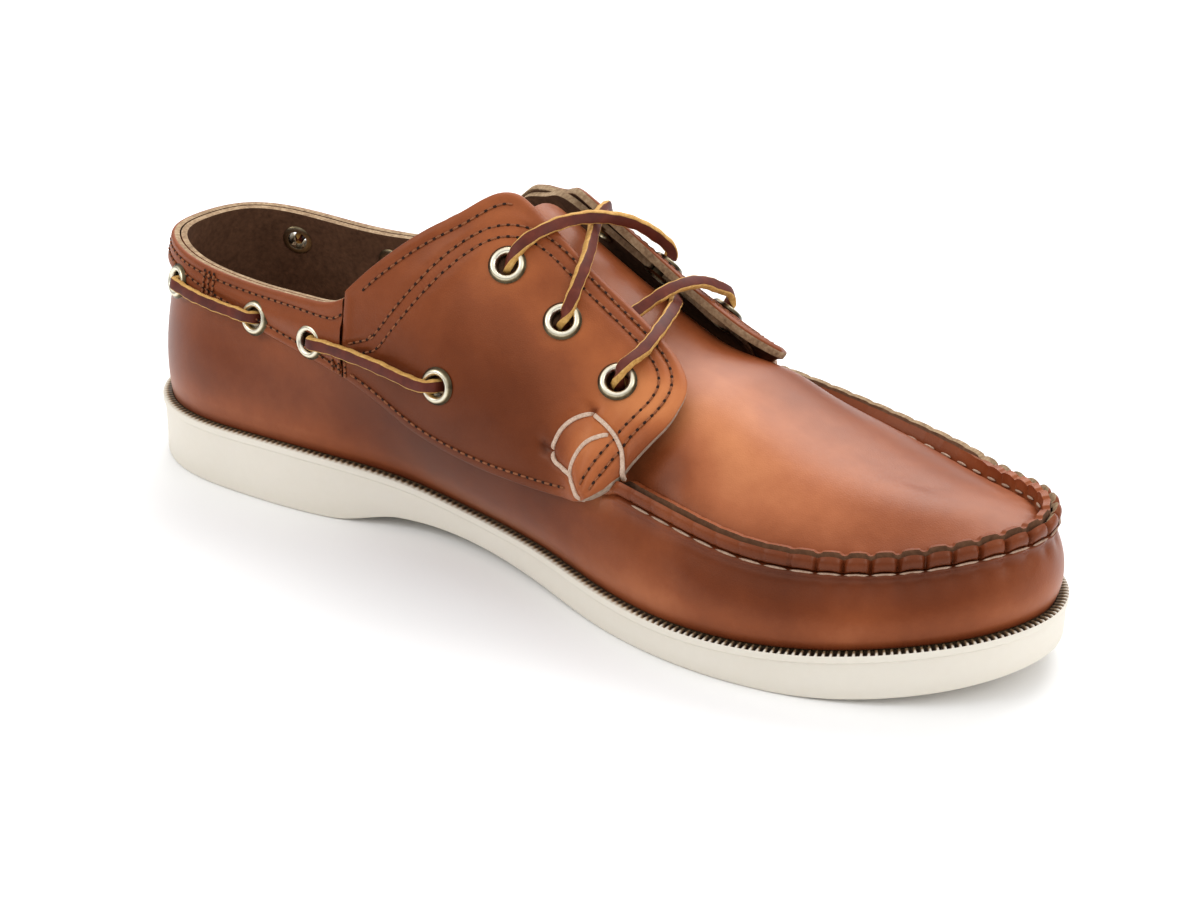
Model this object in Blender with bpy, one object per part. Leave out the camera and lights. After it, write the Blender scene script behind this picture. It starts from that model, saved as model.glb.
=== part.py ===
"""Left boat shoe: hand-sewn moccasin upper on a one-piece rubber sole.

Metres. The toe points to +X, the lateral side is +Y, +Z is up, and the sole stands on Z = 0.
Heights are measured from the floor. Tables hold shares of the named sizes.
"""
import bpy
import bmesh
import numpy as np
from math import cos, pi, radians, sin

# Sizes of the last and the sole
LENGTH = 0.298
BALL_WIDTH = 0.103
HEEL_THICKNESS = 0.0195
WAIST_THICKNESS = 0.0093
WAIST_LIFT = 0.0036
BALL_THICKNESS = 0.0100
TOE_THICKNESS = 0.0115
TOE_SPRING = 0.0085
LEDGE = 0.0030
EDGE_CHAMFER = 0.0008
GROOVE_INSET = 0.0085
GROOVE_WIDTH = 0.0018
GROOVE_DEPTH = 0.0012
RIB_HEIGHT = 0.0020
RIB_DEPTH = 0.0005

# Sizes of the upper
BACK_HEIGHT = 0.070
INSTEP_HEIGHT = 0.100
SEAM_HEIGHT = 0.040
WALL = 0.0018
PLUG_THICKNESS = 0.0018
OVERLAY = 0.0020
PATCH = 0.0012
RIDGE_HEIGHT = 0.0042
INSOLE_THICKNESS = 0.0030
INSOLE_CLEARANCE = 0.0012
GAP = 0.0003
FACET_ROOM = 0.0002

# Sizes of the lacing
EYELET_RADIUS = 0.0049
EYELET_HOLE = 0.0026
EYELET_SHANK = 0.0032
EYELET_FLANGE = 0.0008
LACE_WIDTH = 0.0036
LACE_THICKNESS = 0.0022
LACE_CLEARANCE = 0.0006

BALL_HALF = BALL_WIDTH / 2
TONGUE_SINK = WALL + LACE_THICKNESS + 2 * LACE_CLEARANCE

# Sole outline: distance from the heel as a share of LENGTH, then the medial and lateral half
# widths as shares of half the ball width
OUTLINE = [
    (0.000, 0.000, 0.000),
    (0.022, 0.400, 0.400),
    (0.085, 0.660, 0.660),
    (0.180, 0.725, 0.735),
    (0.285, 0.680, 0.730),
    (0.370, 0.560, 0.715),
    (0.450, 0.565, 0.745),
    (0.540, 0.700, 0.840),
    (0.620, 0.870, 0.935),
    (0.700, 0.975, 0.995),
    (0.770, 0.985, 0.995),
    (0.840, 0.910, 0.910),
    (0.905, 0.745, 0.725),
    (0.960, 0.510, 0.485),
    (0.990, 0.265, 0.235),
    (1.000, 0.030, -0.030),
]

# Break line of the upper, one row for each row of OUTLINE: how far inside the outline it stands on
# the medial and lateral sides (shares of half the ball width), its height (a share of BACK_HEIGHT,
# plus a share of SEAM_HEIGHT on each side), how far the wall swells out below it (medial and
# lateral, shares of half the ball width), and the steepness in degrees of wall and plug where they meet
BREAK = [
    (0.175, 0.175, 1.00, 0.000, 0.000, 0.045, 0.045, 78, 80),
    (0.175, 0.175, 1.00, 0.000, 0.000, 0.045, 0.045, 78, 80),
    (0.190, 0.190, 0.97, 0.000, 0.000, 0.045, 0.045, 78, 80),
    (0.180, 0.180, 0.94, 0.000, 0.000, 0.050, 0.050, 80, 80),
    (0.065, 0.100, 0.92, 0.000, 0.000, 0.080, 0.050, 82, 82),
    (-0.110, 0.025, 0.60, 0.400, 0.400, 0.190, 0.060, 82, 82),
    (-0.145, 0.030, 0.30, 0.725, 0.750, 0.220, 0.060, 80, 80),
    (-0.040, 0.085, 0.00, 1.090, 1.175, 0.160, 0.060, 75, 75),
    (0.100, 0.145, 0.00, 0.990, 1.100, 0.080, 0.055, 64, 60),
    (0.155, 0.165, 0.00, 0.900, 1.000, 0.055, 0.055, 56, 42),
    (0.160, 0.175, 0.00, 0.830, 0.925, 0.050, 0.050, 54, 34),
    (0.165, 0.185, 0.00, 0.825, 0.890, 0.050, 0.050, 54, 28),
    (0.170, 0.180, 0.00, 0.862, 0.900, 0.050, 0.050, 54, 22),
    (0.150, 0.160, 0.00, 0.950, 0.965, 0.050, 0.050, 55, 16),
    (0.130, 0.135, 0.00, 0.998, 1.002, 0.050, 0.050, 58, 12),
    (0.130, 0.130, 0.00, 1.005, 1.005, 0.050, 0.050, 58, 11),
]

# Spine of the instep, one row for each row of OUTLINE: distance from the heel (share of LENGTH),
# offset to the lateral side (share of half the ball width), height (share of INSTEP_HEIGHT)
SPINE = [
    (0.100, 0.000, 1.180),
    (0.110, 0.000, 1.180),
    (0.160, 0.000, 1.200),
    (0.250, 0.000, 1.220),
    (0.330, 0.000, 1.190),
    (0.385, 0.000, 1.130),
    (0.455, 0.000, 1.030),
    (0.540, 0.000, 0.848),
    (0.620, 0.000, 0.692),
    (0.695, -0.020, 0.577),
    (0.755, -0.040, 0.512),
    (0.805, -0.050, 0.473),
    (0.840, -0.050, 0.452),
    (0.860, -0.040, 0.442),
    (0.867, -0.035, 0.440),
    (0.868, -0.030, 0.440),
]

# Top edge of the upper: distance from the heel (share of LENGTH) and place up the surface, where
# 0 is the sole, 1 the break line and 2 the spine
TOPLINE = [
    (0.000, 1.00),
    (0.100, 1.00),
    (0.200, 1.00),
    (0.270, 1.02),
    (0.313, 1.08),
    (0.345, 1.22),
    (0.385, 1.44),
    (0.420, 1.63),
    (0.450, 1.73),
    (0.490, 1.72),
    (0.540, 1.67),
    (0.590, 1.64),
    (0.612, 1.60),
]


def natural_spline(xs, ys):
    """Natural cubic through the points; ys may have several columns."""
    xs = np.asarray(xs, float)
    ys = np.asarray(ys, float)
    n = len(xs)
    h = np.diff(xs)
    a = np.zeros((n, n))
    b = np.zeros((n,) + ys.shape[1:])
    a[0, 0] = 1
    a[-1, -1] = 1
    for i in range(1, n - 1):
        a[i, i - 1:i + 2] = h[i - 1], 2 * (h[i - 1] + h[i]), h[i]
        b[i] = 6 * ((ys[i + 1] - ys[i]) / h[i] - (ys[i] - ys[i - 1]) / h[i - 1])
    m = np.linalg.solve(a, b)

    def curve(x):
        x = np.clip(np.asarray(x, float), xs[0], xs[-1])
        i = np.clip(np.searchsorted(xs, x, side="right") - 1, 0, n - 2)
        d = x - xs[i]
        w = h[i]
        if ys.ndim > 1:
            d = d[..., None]
            w = w[..., None]
        first = (ys[i + 1] - ys[i]) / w - w * (2 * m[i] + m[i + 1]) / 6
        return ys[i] + d * first + d ** 2 * m[i] / 2 + d ** 3 * (m[i + 1] - m[i]) / (6 * w)
    return curve


def smoothstep(t):
    t = np.clip(t, 0, 1)
    return t * t * (3 - 2 * t)


# Closed loop round the shoe: heel, medial side, toe, lateral side
ROWS = len(OUTLINE)
MEDIAL = -1
LATERAL = 1


def loop_columns(medial, lateral):
    """Values of one table column round the loop."""
    return np.concatenate([np.asarray(medial, float), np.asarray(lateral, float)[-2:0:-1]])


outline = np.array(OUTLINE)
knots_xy = np.stack([
    loop_columns(outline[:, 0], outline[:, 0]) * LENGTH,
    loop_columns(-outline[:, 1], outline[:, 2]) * BALL_HALF,
], axis=1)
WRAP = 4
wrapped_xy = np.vstack([knots_xy[-WRAP:], knots_xy, knots_xy[:WRAP + 1]])
steps = np.linalg.norm(np.diff(wrapped_xy / LENGTH, axis=0), axis=1) ** 0.7
knots_t = np.concatenate([[0], np.cumsum(steps)])
knots_t -= knots_t[WRAP]
T_TOE = knots_t[WRAP + ROWS - 1]
T_END = knots_t[WRAP + len(knots_xy)]


def loop_curve(values):
    """Periodic cubic through a column of values round the loop."""
    values = np.asarray(values, float)
    wrapped = np.concatenate([values[-WRAP:], values, values[:WRAP + 1]])
    curve = natural_spline(knots_t, wrapped)
    return lambda t: curve(np.mod(t, T_END))


outline_at = loop_curve(knots_xy)
breaks = np.array(BREAK, float)
break_at = loop_curve(np.stack([
    loop_columns(breaks[:, 0], breaks[:, 1]),
    loop_columns(breaks[:, 2], breaks[:, 2]),
    loop_columns(breaks[:, 3], breaks[:, 4]),
    loop_columns(breaks[:, 5], breaks[:, 6]),
    loop_columns(breaks[:, 7], breaks[:, 7]),
    loop_columns(breaks[:, 8], breaks[:, 8]),
], axis=1))
spine_at = natural_spline(outline[:, 0], np.array(SPINE))
topline = np.array(TOPLINE)
topline_at = natural_spline(topline[:, 0], topline[:, 1])

dense_medial = np.linspace(0, T_TOE, 600)
dense_lateral = np.linspace(T_END, T_TOE, 600)
reach_medial = np.maximum.accumulate(outline_at(dense_medial)[:, 0])
reach_lateral = np.maximum.accumulate(outline_at(dense_lateral)[:, 0])


def station(side, share):
    """Loop parameter of the outline point at a share of the length, on one side."""
    if side == MEDIAL:
        return np.interp(np.asarray(share) * LENGTH, reach_medial, dense_medial)
    return np.interp(np.asarray(share) * LENGTH, reach_lateral, dense_lateral)


def outward(t):
    """Horizontal direction that points out of the outline."""
    step = T_END * 1e-4
    d = outline_at(t + step) - outline_at(t - step)
    d = d / np.linalg.norm(d, axis=-1, keepdims=True)
    return np.stack([d[..., 1], -d[..., 0], np.zeros(d.shape[:-1])], axis=-1)


sole_top_at = natural_spline(
    [0.00, 0.15, 0.30, 0.42, 0.55, 0.68, 0.85, 1.00],
    [HEEL_THICKNESS, HEEL_THICKNESS, 0.95 * HEEL_THICKNESS, 0.9 * WAIST_LIFT + WAIST_THICKNESS,
     BALL_THICKNESS + 0.3 * WAIST_LIFT, BALL_THICKNESS, TOE_THICKNESS + 0.2 * TOE_SPRING,
     TOE_THICKNESS + TOE_SPRING])

HEEL_BREAST = 0.285
ARCH_START = 0.360
BALL_START = 0.660
BALL_END = 0.800


def sole_bottom(share):
    """Height of the sole's bottom: flat heel, ramp, arch, flat ball, toe spring."""
    share = np.asarray(share, float)
    ramp = smoothstep((share - HEEL_BREAST) / (ARCH_START - HEEL_BREAST))
    arch = 1 - smoothstep((share - ARCH_START) / (BALL_START - ARCH_START))
    toe = np.clip((share - BALL_END) / (1 - BALL_END), 0, 1) ** 2
    return WAIST_LIFT * ramp * arch + TOE_SPRING * toe


def sole_top(share):
    return sole_top_at(np.clip(share, 0, 1))


def bezier(p0, p1, p2, p3, t):
    t = np.asarray(t)[..., None]
    s = 1 - t
    return p0 * s ** 3 + 3 * p1 * s * s * t + 3 * p2 * s * t * t + p3 * t ** 3


UP = np.array([0.0, 0.0, 1.0])


def lift(xy, z):
    return np.concatenate([xy, np.asarray(z)[..., None]], axis=-1)


def frame_points(t):
    """Foot of the wall, break line, spine, outward direction and table values at t."""
    o = outline_at(t)
    n = outward(t)
    row = break_at(t)
    foot_xy = o - n[..., :2] * LEDGE
    foot = lift(foot_xy, sole_top(foot_xy[..., 0] / LENGTH) + GAP)
    brk = lift(o - n[..., :2] * row[..., :1] * BALL_HALF,
               row[..., 1] * BACK_HEIGHT + row[..., 2] * SEAM_HEIGHT)
    c = spine_at(np.clip(o[..., 0] / LENGTH, 0, 1))
    spine = c * np.array([LENGTH, BALL_HALF, INSTEP_HEIGHT])
    return foot, brk, spine, n, row


def surface(t, v):
    """Outer face of the upper: v runs from the sole (0) over the break line (1) to the spine (2)."""
    t, v = np.broadcast_arrays(np.asarray(t, float), np.asarray(v, float))
    foot, brk, spine, n, row = frame_points(t)
    height = (brk - foot)[..., 2:]
    lean = np.radians(row[..., 4:5])
    into = -n * np.cos(lean) + UP * np.sin(lean)
    wall = bezier(foot, foot + n * row[..., 3:4] * BALL_HALF + UP * height * 0.36,
                  brk - into * height * 0.34, brk, np.clip(v, 0, 1))
    rise = np.radians(row[..., 5:6])
    across = spine - brk
    reach = np.linalg.norm(across, axis=-1, keepdims=True)
    flat = across * np.array([1.0, 1.0, 0.0])
    leave = -n * np.cos(rise) + UP * np.sin(rise)
    plug = bezier(brk, brk + leave * reach * 0.45, spine - flat * 0.5, spine, np.clip(v - 1, 0, 1))
    return np.where((v <= 1)[..., None], wall, plug)


def surface_normal(t, v):
    t, v = np.broadcast_arrays(np.asarray(t, float), np.asarray(v, float))
    dt = T_END * 2e-4
    dv = 0.01
    v = np.clip(v, dv, 1.96)
    along = surface(t + dt, v) - surface(t - dt, v)
    up = surface(t, v + dv) - surface(t, v - dv)
    n = np.cross(along, up)
    return n / np.linalg.norm(n, axis=-1, keepdims=True)


def offset_surface(t, v, distance):
    return surface(t, v) + surface_normal(t, v) * np.asarray(distance)[..., None]


# Build the objects
for old in list(bpy.data.objects):
    bpy.data.objects.remove(old, do_unlink=True)

X_SHIFT = LENGTH / 2
dense_ring = outline_at(np.linspace(0, T_END, 2000))
Y_SHIFT = (dense_ring[:, 1].max() + dense_ring[:, 1].min()) / 2


def place(points):
    """Move design points so that the origin is below the middle of the shoe."""
    return np.asarray(points) - np.array([X_SHIFT, Y_SHIFT, 0.0])


def make_material(name, color, roughness, metallic=0.0):
    material = bpy.data.materials.new(name)
    material.use_nodes = True
    shader = material.node_tree.nodes["Principled BSDF"]
    shader.inputs["Base Color"].default_value = (*color, 1.0)
    shader.inputs["Roughness"].default_value = roughness
    shader.inputs["Metallic"].default_value = metallic
    return material


leather_vamp = make_material("Vamp leather", (0.270, 0.075, 0.030), 0.42)
leather_saddle = make_material("Saddle leather", (0.330, 0.100, 0.042), 0.42)
leather_patch = make_material("Heel patch leather", (0.120, 0.040, 0.020), 0.50)
rubber = make_material("Sole rubber", (0.800, 0.760, 0.680), 0.60)
sock = make_material("Sock leather", (0.420, 0.220, 0.110), 0.70)
brass = make_material("Antique brass", (0.420, 0.340, 0.190), 0.35, 1.0)
rawhide = make_material("Rawhide lace", (0.150, 0.045, 0.020), 0.55)


def add_object(name, points, faces, material, cutter=False):
    """Closed mesh object; coincident points are welded and faces turned outward."""
    mesh = bpy.data.meshes.new(name)
    mesh.from_pydata([tuple(p) for p in place(points)], [], faces)
    bm = bmesh.new()
    bm.from_mesh(mesh)
    bmesh.ops.remove_doubles(bm, verts=bm.verts, dist=1e-6)
    bmesh.ops.recalc_face_normals(bm, faces=bm.faces)
    if bm.calc_volume(signed=True) < 0:
        bmesh.ops.reverse_faces(bm, faces=bm.faces)
    bm.to_mesh(mesh)
    bm.free()
    mesh.materials.append(material)
    mesh.shade_smooth()
    mesh.set_sharp_from_angle(angle=radians(40))
    obj = bpy.data.objects.new(name, mesh)
    bpy.context.scene.collection.objects.link(obj)
    if cutter:
        obj.hide_render = True
        obj.display_type = "WIRE"
    return obj


def cut(target, tool, operation="DIFFERENCE"):
    modifier = target.modifiers.new(operation.title(), "BOOLEAN")
    modifier.operation = operation
    modifier.object = tool
    modifier.solver = "EXACT"


def loop_faces(rows, columns, close_rows):
    """Quads of a tube: rows of closed loops, joined row to row."""
    faces = []
    for i in range(rows if close_rows else rows - 1):
        for j in range(columns):
            a = i * columns + j
            b = i * columns + (j + 1) % columns
            c = ((i + 1) % rows) * columns + (j + 1) % columns
            d = ((i + 1) % rows) * columns + j
            faces.append((a, b, c, d))
    return faces


def paired_shares(count):
    """Stations from heel to toe, closer together at both ends."""
    return 0.5 - 0.5 * np.cos(np.linspace(0, pi, count))


def ring_params(shares):
    """Loop parameters: medial side heel to toe, then the lateral side back."""
    medial = station(MEDIAL, shares)
    lateral = station(LATERAL, shares)
    return np.concatenate([medial, lateral[-2:0:-1]])


def slab(name, shares, loops, material):
    """Solid from closed loops stacked round the shoe, with strips across both ends."""
    n = 2 * len(shares) - 2
    points = np.concatenate(loops)
    faces = []
    for k in range(len(loops) - 1):
        for i in range(n):
            j = (i + 1) % n
            faces.append((k * n + i, k * n + j, (k + 1) * n + j, (k + 1) * n + i))
    for base in (0, (len(loops) - 1) * n):
        for i in range(len(shares) - 1):
            strip = [base + i, base + i + 1, base + (n - i - 1) % n, base + (n - i) % n]
            strip = list(dict.fromkeys(strip))
            faces.append(tuple(strip))
    return add_object(name, points, faces, material)


# Outsole
SOLE_STATIONS = 29
sole_shares = paired_shares(SOLE_STATIONS)
sole_t = ring_params(sole_shares)


def sole_loop(inset, base, rise):
    """Loop at a distance inside the outline; height over the sole's bottom or top."""
    xy = outline_at(sole_t) - outward(sole_t)[:, :2] * inset
    share = xy[:, 0] / LENGTH
    if base == "bottom":
        z = sole_bottom(share) + rise
    else:
        z = sole_top(share) + rise
    return lift(xy, z)


slab("outsole", sole_shares, [
    sole_loop(GROOVE_INSET + GROOVE_WIDTH, "bottom", 0),
    sole_loop(GROOVE_INSET + GROOVE_WIDTH * 0.8, "bottom", GROOVE_DEPTH),
    sole_loop(GROOVE_INSET + GROOVE_WIDTH * 0.2, "bottom", GROOVE_DEPTH),
    sole_loop(GROOVE_INSET, "bottom", 0),
    sole_loop(RIB_DEPTH + EDGE_CHAMFER, "bottom", 0),
    sole_loop(RIB_DEPTH, "bottom", EDGE_CHAMFER),
    sole_loop(RIB_DEPTH, "top", -RIB_HEIGHT - RIB_DEPTH),
    sole_loop(0, "top", -RIB_HEIGHT),
    sole_loop(0, "top", -RIB_DEPTH),
    sole_loop(RIB_DEPTH, "top", 0),
    sole_loop(LEDGE + 2 * WALL, "top", 0),
], rubber)


def insole_loop(inset, rise):
    xy = outline_at(sole_t) - outward(sole_t)[:, :2] * inset
    return lift(xy, sole_top(xy[:, 0] / LENGTH) + GAP + rise)


INSOLE_INSET = LEDGE + WALL + INSOLE_CLEARANCE
slab("insole", sole_shares, [
    insole_loop(INSOLE_INSET, 0),
    insole_loop(INSOLE_INSET, INSOLE_THICKNESS * 0.7),
    insole_loop(INSOLE_INSET + INSOLE_THICKNESS * 0.3, INSOLE_THICKNESS),
], sock)

# Upper: one closed profile at each station, joined round the shoe
QUARTER_END = 0.612
LIP_START = 0.632
LIP_FULL = 0.648
quarter_shares = np.array([0.004, 0.014, 0.03, 0.052, 0.08, 0.12, 0.17, 0.22, 0.27, 0.313, 0.35, 0.385,
                           0.42, 0.45, 0.475, 0.50, 0.53, 0.56, 0.59, QUARTER_END])
vamp_shares = np.array([LIP_START, LIP_FULL, 0.69, 0.725, 0.76, 0.80, 0.835, 0.865, 0.895, 0.92, 0.942,
                        0.961, 0.978, 0.991, 0.998])
side_shares = np.concatenate([quarter_shares, vamp_shares])
upper_t = np.concatenate([[0.0], station(MEDIAL, side_shares), [T_TOE],
                          station(LATERAL, side_shares)[::-1]])
upper_share = np.concatenate([[0.0], side_shares, [1.0], side_shares[::-1]])
OUTER_STEPS = np.array([0.0, 0.14, 0.30, 0.47, 0.64, 0.80])


def upper_profile(t, share):
    """Closed section of the wall, outer face up and inner face down."""
    lipped = share > (QUARTER_END + LIP_START) / 2
    top = 1.0 if lipped else float(topline_at(share))
    v = OUTER_STEPS * top
    outer = list(surface(t, v))
    inner = list(offset_surface(t, v, -WALL))
    n = outward(np.array(t))
    foot = outer[0]
    inner[0] = foot - n * WALL
    near_top = 0.93 * top
    edge = np.array([
        surface(np.array(t), np.array(near_top)),
        surface(np.array(t), np.array(top)),
        offset_surface(np.array(t), np.array(top), -WALL),
        offset_surface(np.array(t), np.array(near_top), -WALL),
    ])
    if lipped:
        crease = surface(np.array(t), np.array(1.0))
        lip = np.array([
            crease + n * (GAP / 2 + WALL),
            crease + n * (GAP / 2 + WALL) + UP * RIDGE_HEIGHT,
            crease + n * (GAP / 2) + UP * RIDGE_HEIGHT,
            crease + n * (GAP / 2) - UP * WALL,
        ])
        turn = float(smoothstep((share - LIP_START) / (LIP_FULL - LIP_START)))
        edge = edge + (lip - edge) * turn
    edge = list(edge)
    return outer + edge + inner[::-1]


upper_loops = np.array([upper_profile(t, s) for t, s in zip(upper_t, upper_share)])
upper = add_object("upper", upper_loops.reshape(-1, 3),
                   loop_faces(upper_loops.shape[0], upper_loops.shape[1], True), leather_vamp)

# Plug and tongue in one piece: rows from the tongue's end to the toe, folded shut at the toe
TONGUE_END = 0.462
RIM_START = LIP_FULL
tongue_shares = np.array([TONGUE_END, 0.49, 0.52, 0.55, 0.58, 0.61, 0.638])
plug_shares = np.array([RIM_START, 0.69, 0.725, 0.76, 0.80, 0.835, 0.865, 0.895, 0.92, 0.942,
                        0.961, 0.978, 0.991, 0.998, 1.0])
TONGUE_EDGE = 1.22
TONGUE_JOIN = 1.03
CROWN_STEPS = np.array([0.10, 0.24, 0.42, 0.62, 0.82])


def plug_sink(share):
    """How deep the tongue lies under the surface; the plug comes up to it at the throat."""
    return TONGUE_SINK * (1 - smoothstep((share - 0.610) / 0.085))


def plug_half(side, share):
    """Top and bottom points of one half section, from the edge to beside the spine."""
    t = np.array(station(side, share)) if share < 1 else np.array(T_TOE)
    sink = plug_sink(share)
    n = outward(t)
    if share >= RIM_START:
        crease = surface(t, np.array(1.0))
        v = 1 + CROWN_STEPS
        skin = offset_surface(t, v, -sink + 0 * v)
        under = offset_surface(t, v, -sink - PLUG_THICKNESS + 0 * v)
        foot = skin[0] + (crease - surface(t, v[:1])[0]) * 0.55
        edge = crease - n * GAP / 2
        thick = n * PLUG_THICKNESS
        bottom = edge.copy()
        bottom[2] = foot[2] - PLUG_THICKNESS
        crest = crease[2] + RIDGE_HEIGHT
        top = [bottom,
               np.array([edge[0], edge[1], crest]),
               np.array([*(edge - thick)[:2], crest]),
               np.array([*(edge - thick)[:2], foot[2]])] + list(skin)
        return top, list(under)
    join = smoothstep((share - QUARTER_END) / (tongue_shares[-1] - QUARTER_END))
    border = TONGUE_EDGE + (TONGUE_JOIN - TONGUE_EDGE) * join
    v = border + (2 - border) * CROWN_STEPS
    skin = offset_surface(t, v, -sink + 0 * v)
    under = offset_surface(t, v, -sink - PLUG_THICKNESS + 0 * v)
    v_edge = border + (2 - border) * np.array([0.0, 0.0, 0.03, 0.06])
    edge = offset_surface(t, v_edge, np.array([-sink - PLUG_THICKNESS, -sink, -sink, -sink]))
    return list(edge) + list(skin), list(under)


def plug_loop(share):
    top_m, under_m = plug_half(MEDIAL, share)
    top_l, under_l = plug_half(LATERAL, share)
    t = np.array(station(MEDIAL, share)) if share < 1 else np.array(T_TOE)
    spine = surface(t, np.array(2.0))
    n = surface_normal(t, np.array(2.0)) * np.array([1, 0, 1])
    n = n / np.linalg.norm(n)
    sink = plug_sink(share)
    crown = [spine - n * sink]
    crown_under = [spine - n * (sink + PLUG_THICKNESS)]
    return top_m + crown + top_l[::-1] + under_l + crown_under + under_m[::-1]


plug_loops = np.array([plug_loop(s) for s in np.concatenate([tongue_shares, plug_shares])])
plug_faces = loop_faces(plug_loops.shape[0], plug_loops.shape[1], False)
half = len(CROWN_STEPS) + 4
count = plug_loops.shape[1]


def end_cap(half, count):
    """Quads that close the tongue's end, from the edges to the spine."""
    faces = []
    spine_under = 2 * half + 1 + len(CROWN_STEPS)
    faces.append((0, 1, 2, 3))
    faces.append((0, 3, 4, count - 1))
    for k in range(1, len(CROWN_STEPS)):
        faces.append((count - k, 3 + k, 4 + k, count - k - 1))
    faces.append((count - len(CROWN_STEPS), 3 + len(CROWN_STEPS), half, spine_under))
    last = 2 * half
    faces.append((last, last - 1, last - 2, last - 3))
    faces.append((last, last - 3, last - 4, last + 1))
    for k in range(1, len(CROWN_STEPS)):
        faces.append((last + k, last - 3 - k, last - 4 - k, last + k + 1))
    faces.append((last + len(CROWN_STEPS), last - 3 - len(CROWN_STEPS), half, spine_under))
    return faces


plug_faces += end_cap(half, count)
add_object("plug_tongue", plug_loops.reshape(-1, 3), plug_faces, leather_vamp)


# Overlays
SURFACE_SPAN = 0.055
LONGEST_SIDE = 0.0105


def rounded(points, rounding, samples=4):
    """Polygon with each corner replaced by an arc; rounding is the share of the shorter side."""
    points = np.array(points, float)
    result = []
    for k in range(len(points)):
        p = points[k]
        a = points[k - 1]
        b = points[(k + 1) % len(points)]
        r = rounding[k]
        p0 = p + (a - p) * r
        p2 = p + (b - p) * r
        if r == 0:
            result.append(p)
            continue
        for s in np.linspace(0, 1, samples):
            result.append(p0 * (1 - s) ** 2 + 2 * p * s * (1 - s) + p2 * s * s)
    return np.array(result)


def divided(border, longest):
    """Border with its long sides split, so that the sheet follows the curve of the shoe."""
    result = []
    for k in range(len(border)):
        a = border[k]
        b = border[(k + 1) % len(border)]
        pieces = max(1, int(np.ceil(np.linalg.norm((b - a) * (LENGTH, SURFACE_SPAN)) / longest)))
        result += [a + (b - a) * i / pieces for i in range(pieces)]
    return np.array(result)


def patch(name, border, middle, to_loop, low, high, rings, material):
    """Sheet cut from the upper's surface: border and middle in share and height up the surface."""
    border = np.array(border)
    middle = np.array(middle)
    shares = np.concatenate([np.array(rings), [0.0]])
    n = len(border)
    points = []
    faces = []
    for level in (high, low):
        for s in shares[:-1]:
            q = middle + (border - middle) * s
            points.append(offset_surface(to_loop(q[:, 0]), q[:, 1], level + 0 * q[:, 0]))
        q = middle[None]
        points.append(offset_surface(to_loop(q[:, 0]), q[:, 1], level + 0 * q[:, 0]))
    size = n * (len(shares) - 1) + 1
    for side in range(2):
        base = side * size
        for k in range(len(shares) - 2):
            for i in range(n):
                j = (i + 1) % n
                faces.append((base + k * n + i, base + k * n + j,
                              base + (k + 1) * n + j, base + (k + 1) * n + i))
        for i in range(n):
            j = (i + 1) % n
            faces.append((base + (len(shares) - 2) * n + i, base + (len(shares) - 2) * n + j,
                          base + size - 1))
    for i in range(n):
        j = (i + 1) % n
        faces.append((i, j, size + j, size + i))
    return add_object(name, np.concatenate(points), faces, material)


OVERLAY_LOW = GAP + FACET_ROOM
OVERLAY_HIGH = OVERLAY_LOW + OVERLAY
SEAT = 0.316
JOINT_GAP = 0.0016
SADDLE = [
    (SEAT, 0.655),
    (0.400, 0.595),
    (0.500, 0.640),
    (0.570, 0.720),
    (0.616, 0.810),
    (0.636, 1.140),
    (0.656, 1.400),
    (0.661, 1.670),
    (0.610, 1.675),
    (0.540, 1.700),
    (0.480, 1.770),
    (0.442, 1.805),
    (0.412, 1.610),
    (0.370, 1.390),
    (0.340, 1.230),
    (SEAT, 1.110),
]
SADDLE_ROUNDING = [0, 0.3, 0.3, 0.3, 0.42, 0.3, 0.3, 0.45, 0.3, 0.3, 0.3, 0.42, 0.3, 0.3, 0.3, 0]
SADDLE_MIDDLE = (0.500, 1.200)
saddle_border = divided(rounded(SADDLE, SADDLE_ROUNDING, 3), LONGEST_SIDE)
saddles = {}
for side, word in ((MEDIAL, "medial"), (LATERAL, "lateral")):
    saddles[side] = patch("saddle_" + word, saddle_border, SADDLE_MIDDLE,
                          lambda s, side=side: station(side, s),
                          OVERLAY_LOW, OVERLAY_HIGH, (1.0, 0.84, 0.64, 0.42, 0.2), leather_saddle)

# Collar band round the heel, from saddle to saddle
BAND_LOW = [
    (0.000, 0.830),
    (0.060, 0.830),
    (0.150, 0.770),
    (0.240, 0.690),
    (SEAT, 0.650),
]
band_low_at = natural_spline([r[0] for r in BAND_LOW], [r[1] for r in BAND_LOW])
band_end = SEAT - JOINT_GAP
band_shares = np.array([0.004, 0.014, 0.03, 0.052, 0.08, 0.12, 0.17, 0.22, 0.27, band_end])
band_t = np.concatenate([station(MEDIAL, band_shares)[::-1] - 0, [0.0], station(LATERAL, band_shares) - T_END])
band_share = np.concatenate([band_shares[::-1], [0.0], band_shares])
band_loops = []
for t, s in zip(band_t, band_share):
    v = band_low_at(s) + (topline_at(s) - band_low_at(s)) * np.array([0, 0.33, 0.67, 1.0])
    outer = offset_surface(np.array(t), v, OVERLAY_HIGH + 0 * v)
    inner = offset_surface(np.array(t), v, OVERLAY_LOW + 0 * v)
    band_loops.append(np.concatenate([outer, inner[::-1]]))
band_loops = np.array(band_loops)
band_count = band_loops.shape[1]
band_faces = loop_faces(band_loops.shape[0], band_count, False)
for base in (0, (len(band_loops) - 1) * band_count):
    for k in range(3):
        band_faces.append((base + k, base + k + 1, base + band_count - 2 - k, base + band_count - 1 - k))
band = add_object("collar_band", band_loops.reshape(-1, 3), band_faces, leather_saddle)

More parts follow.
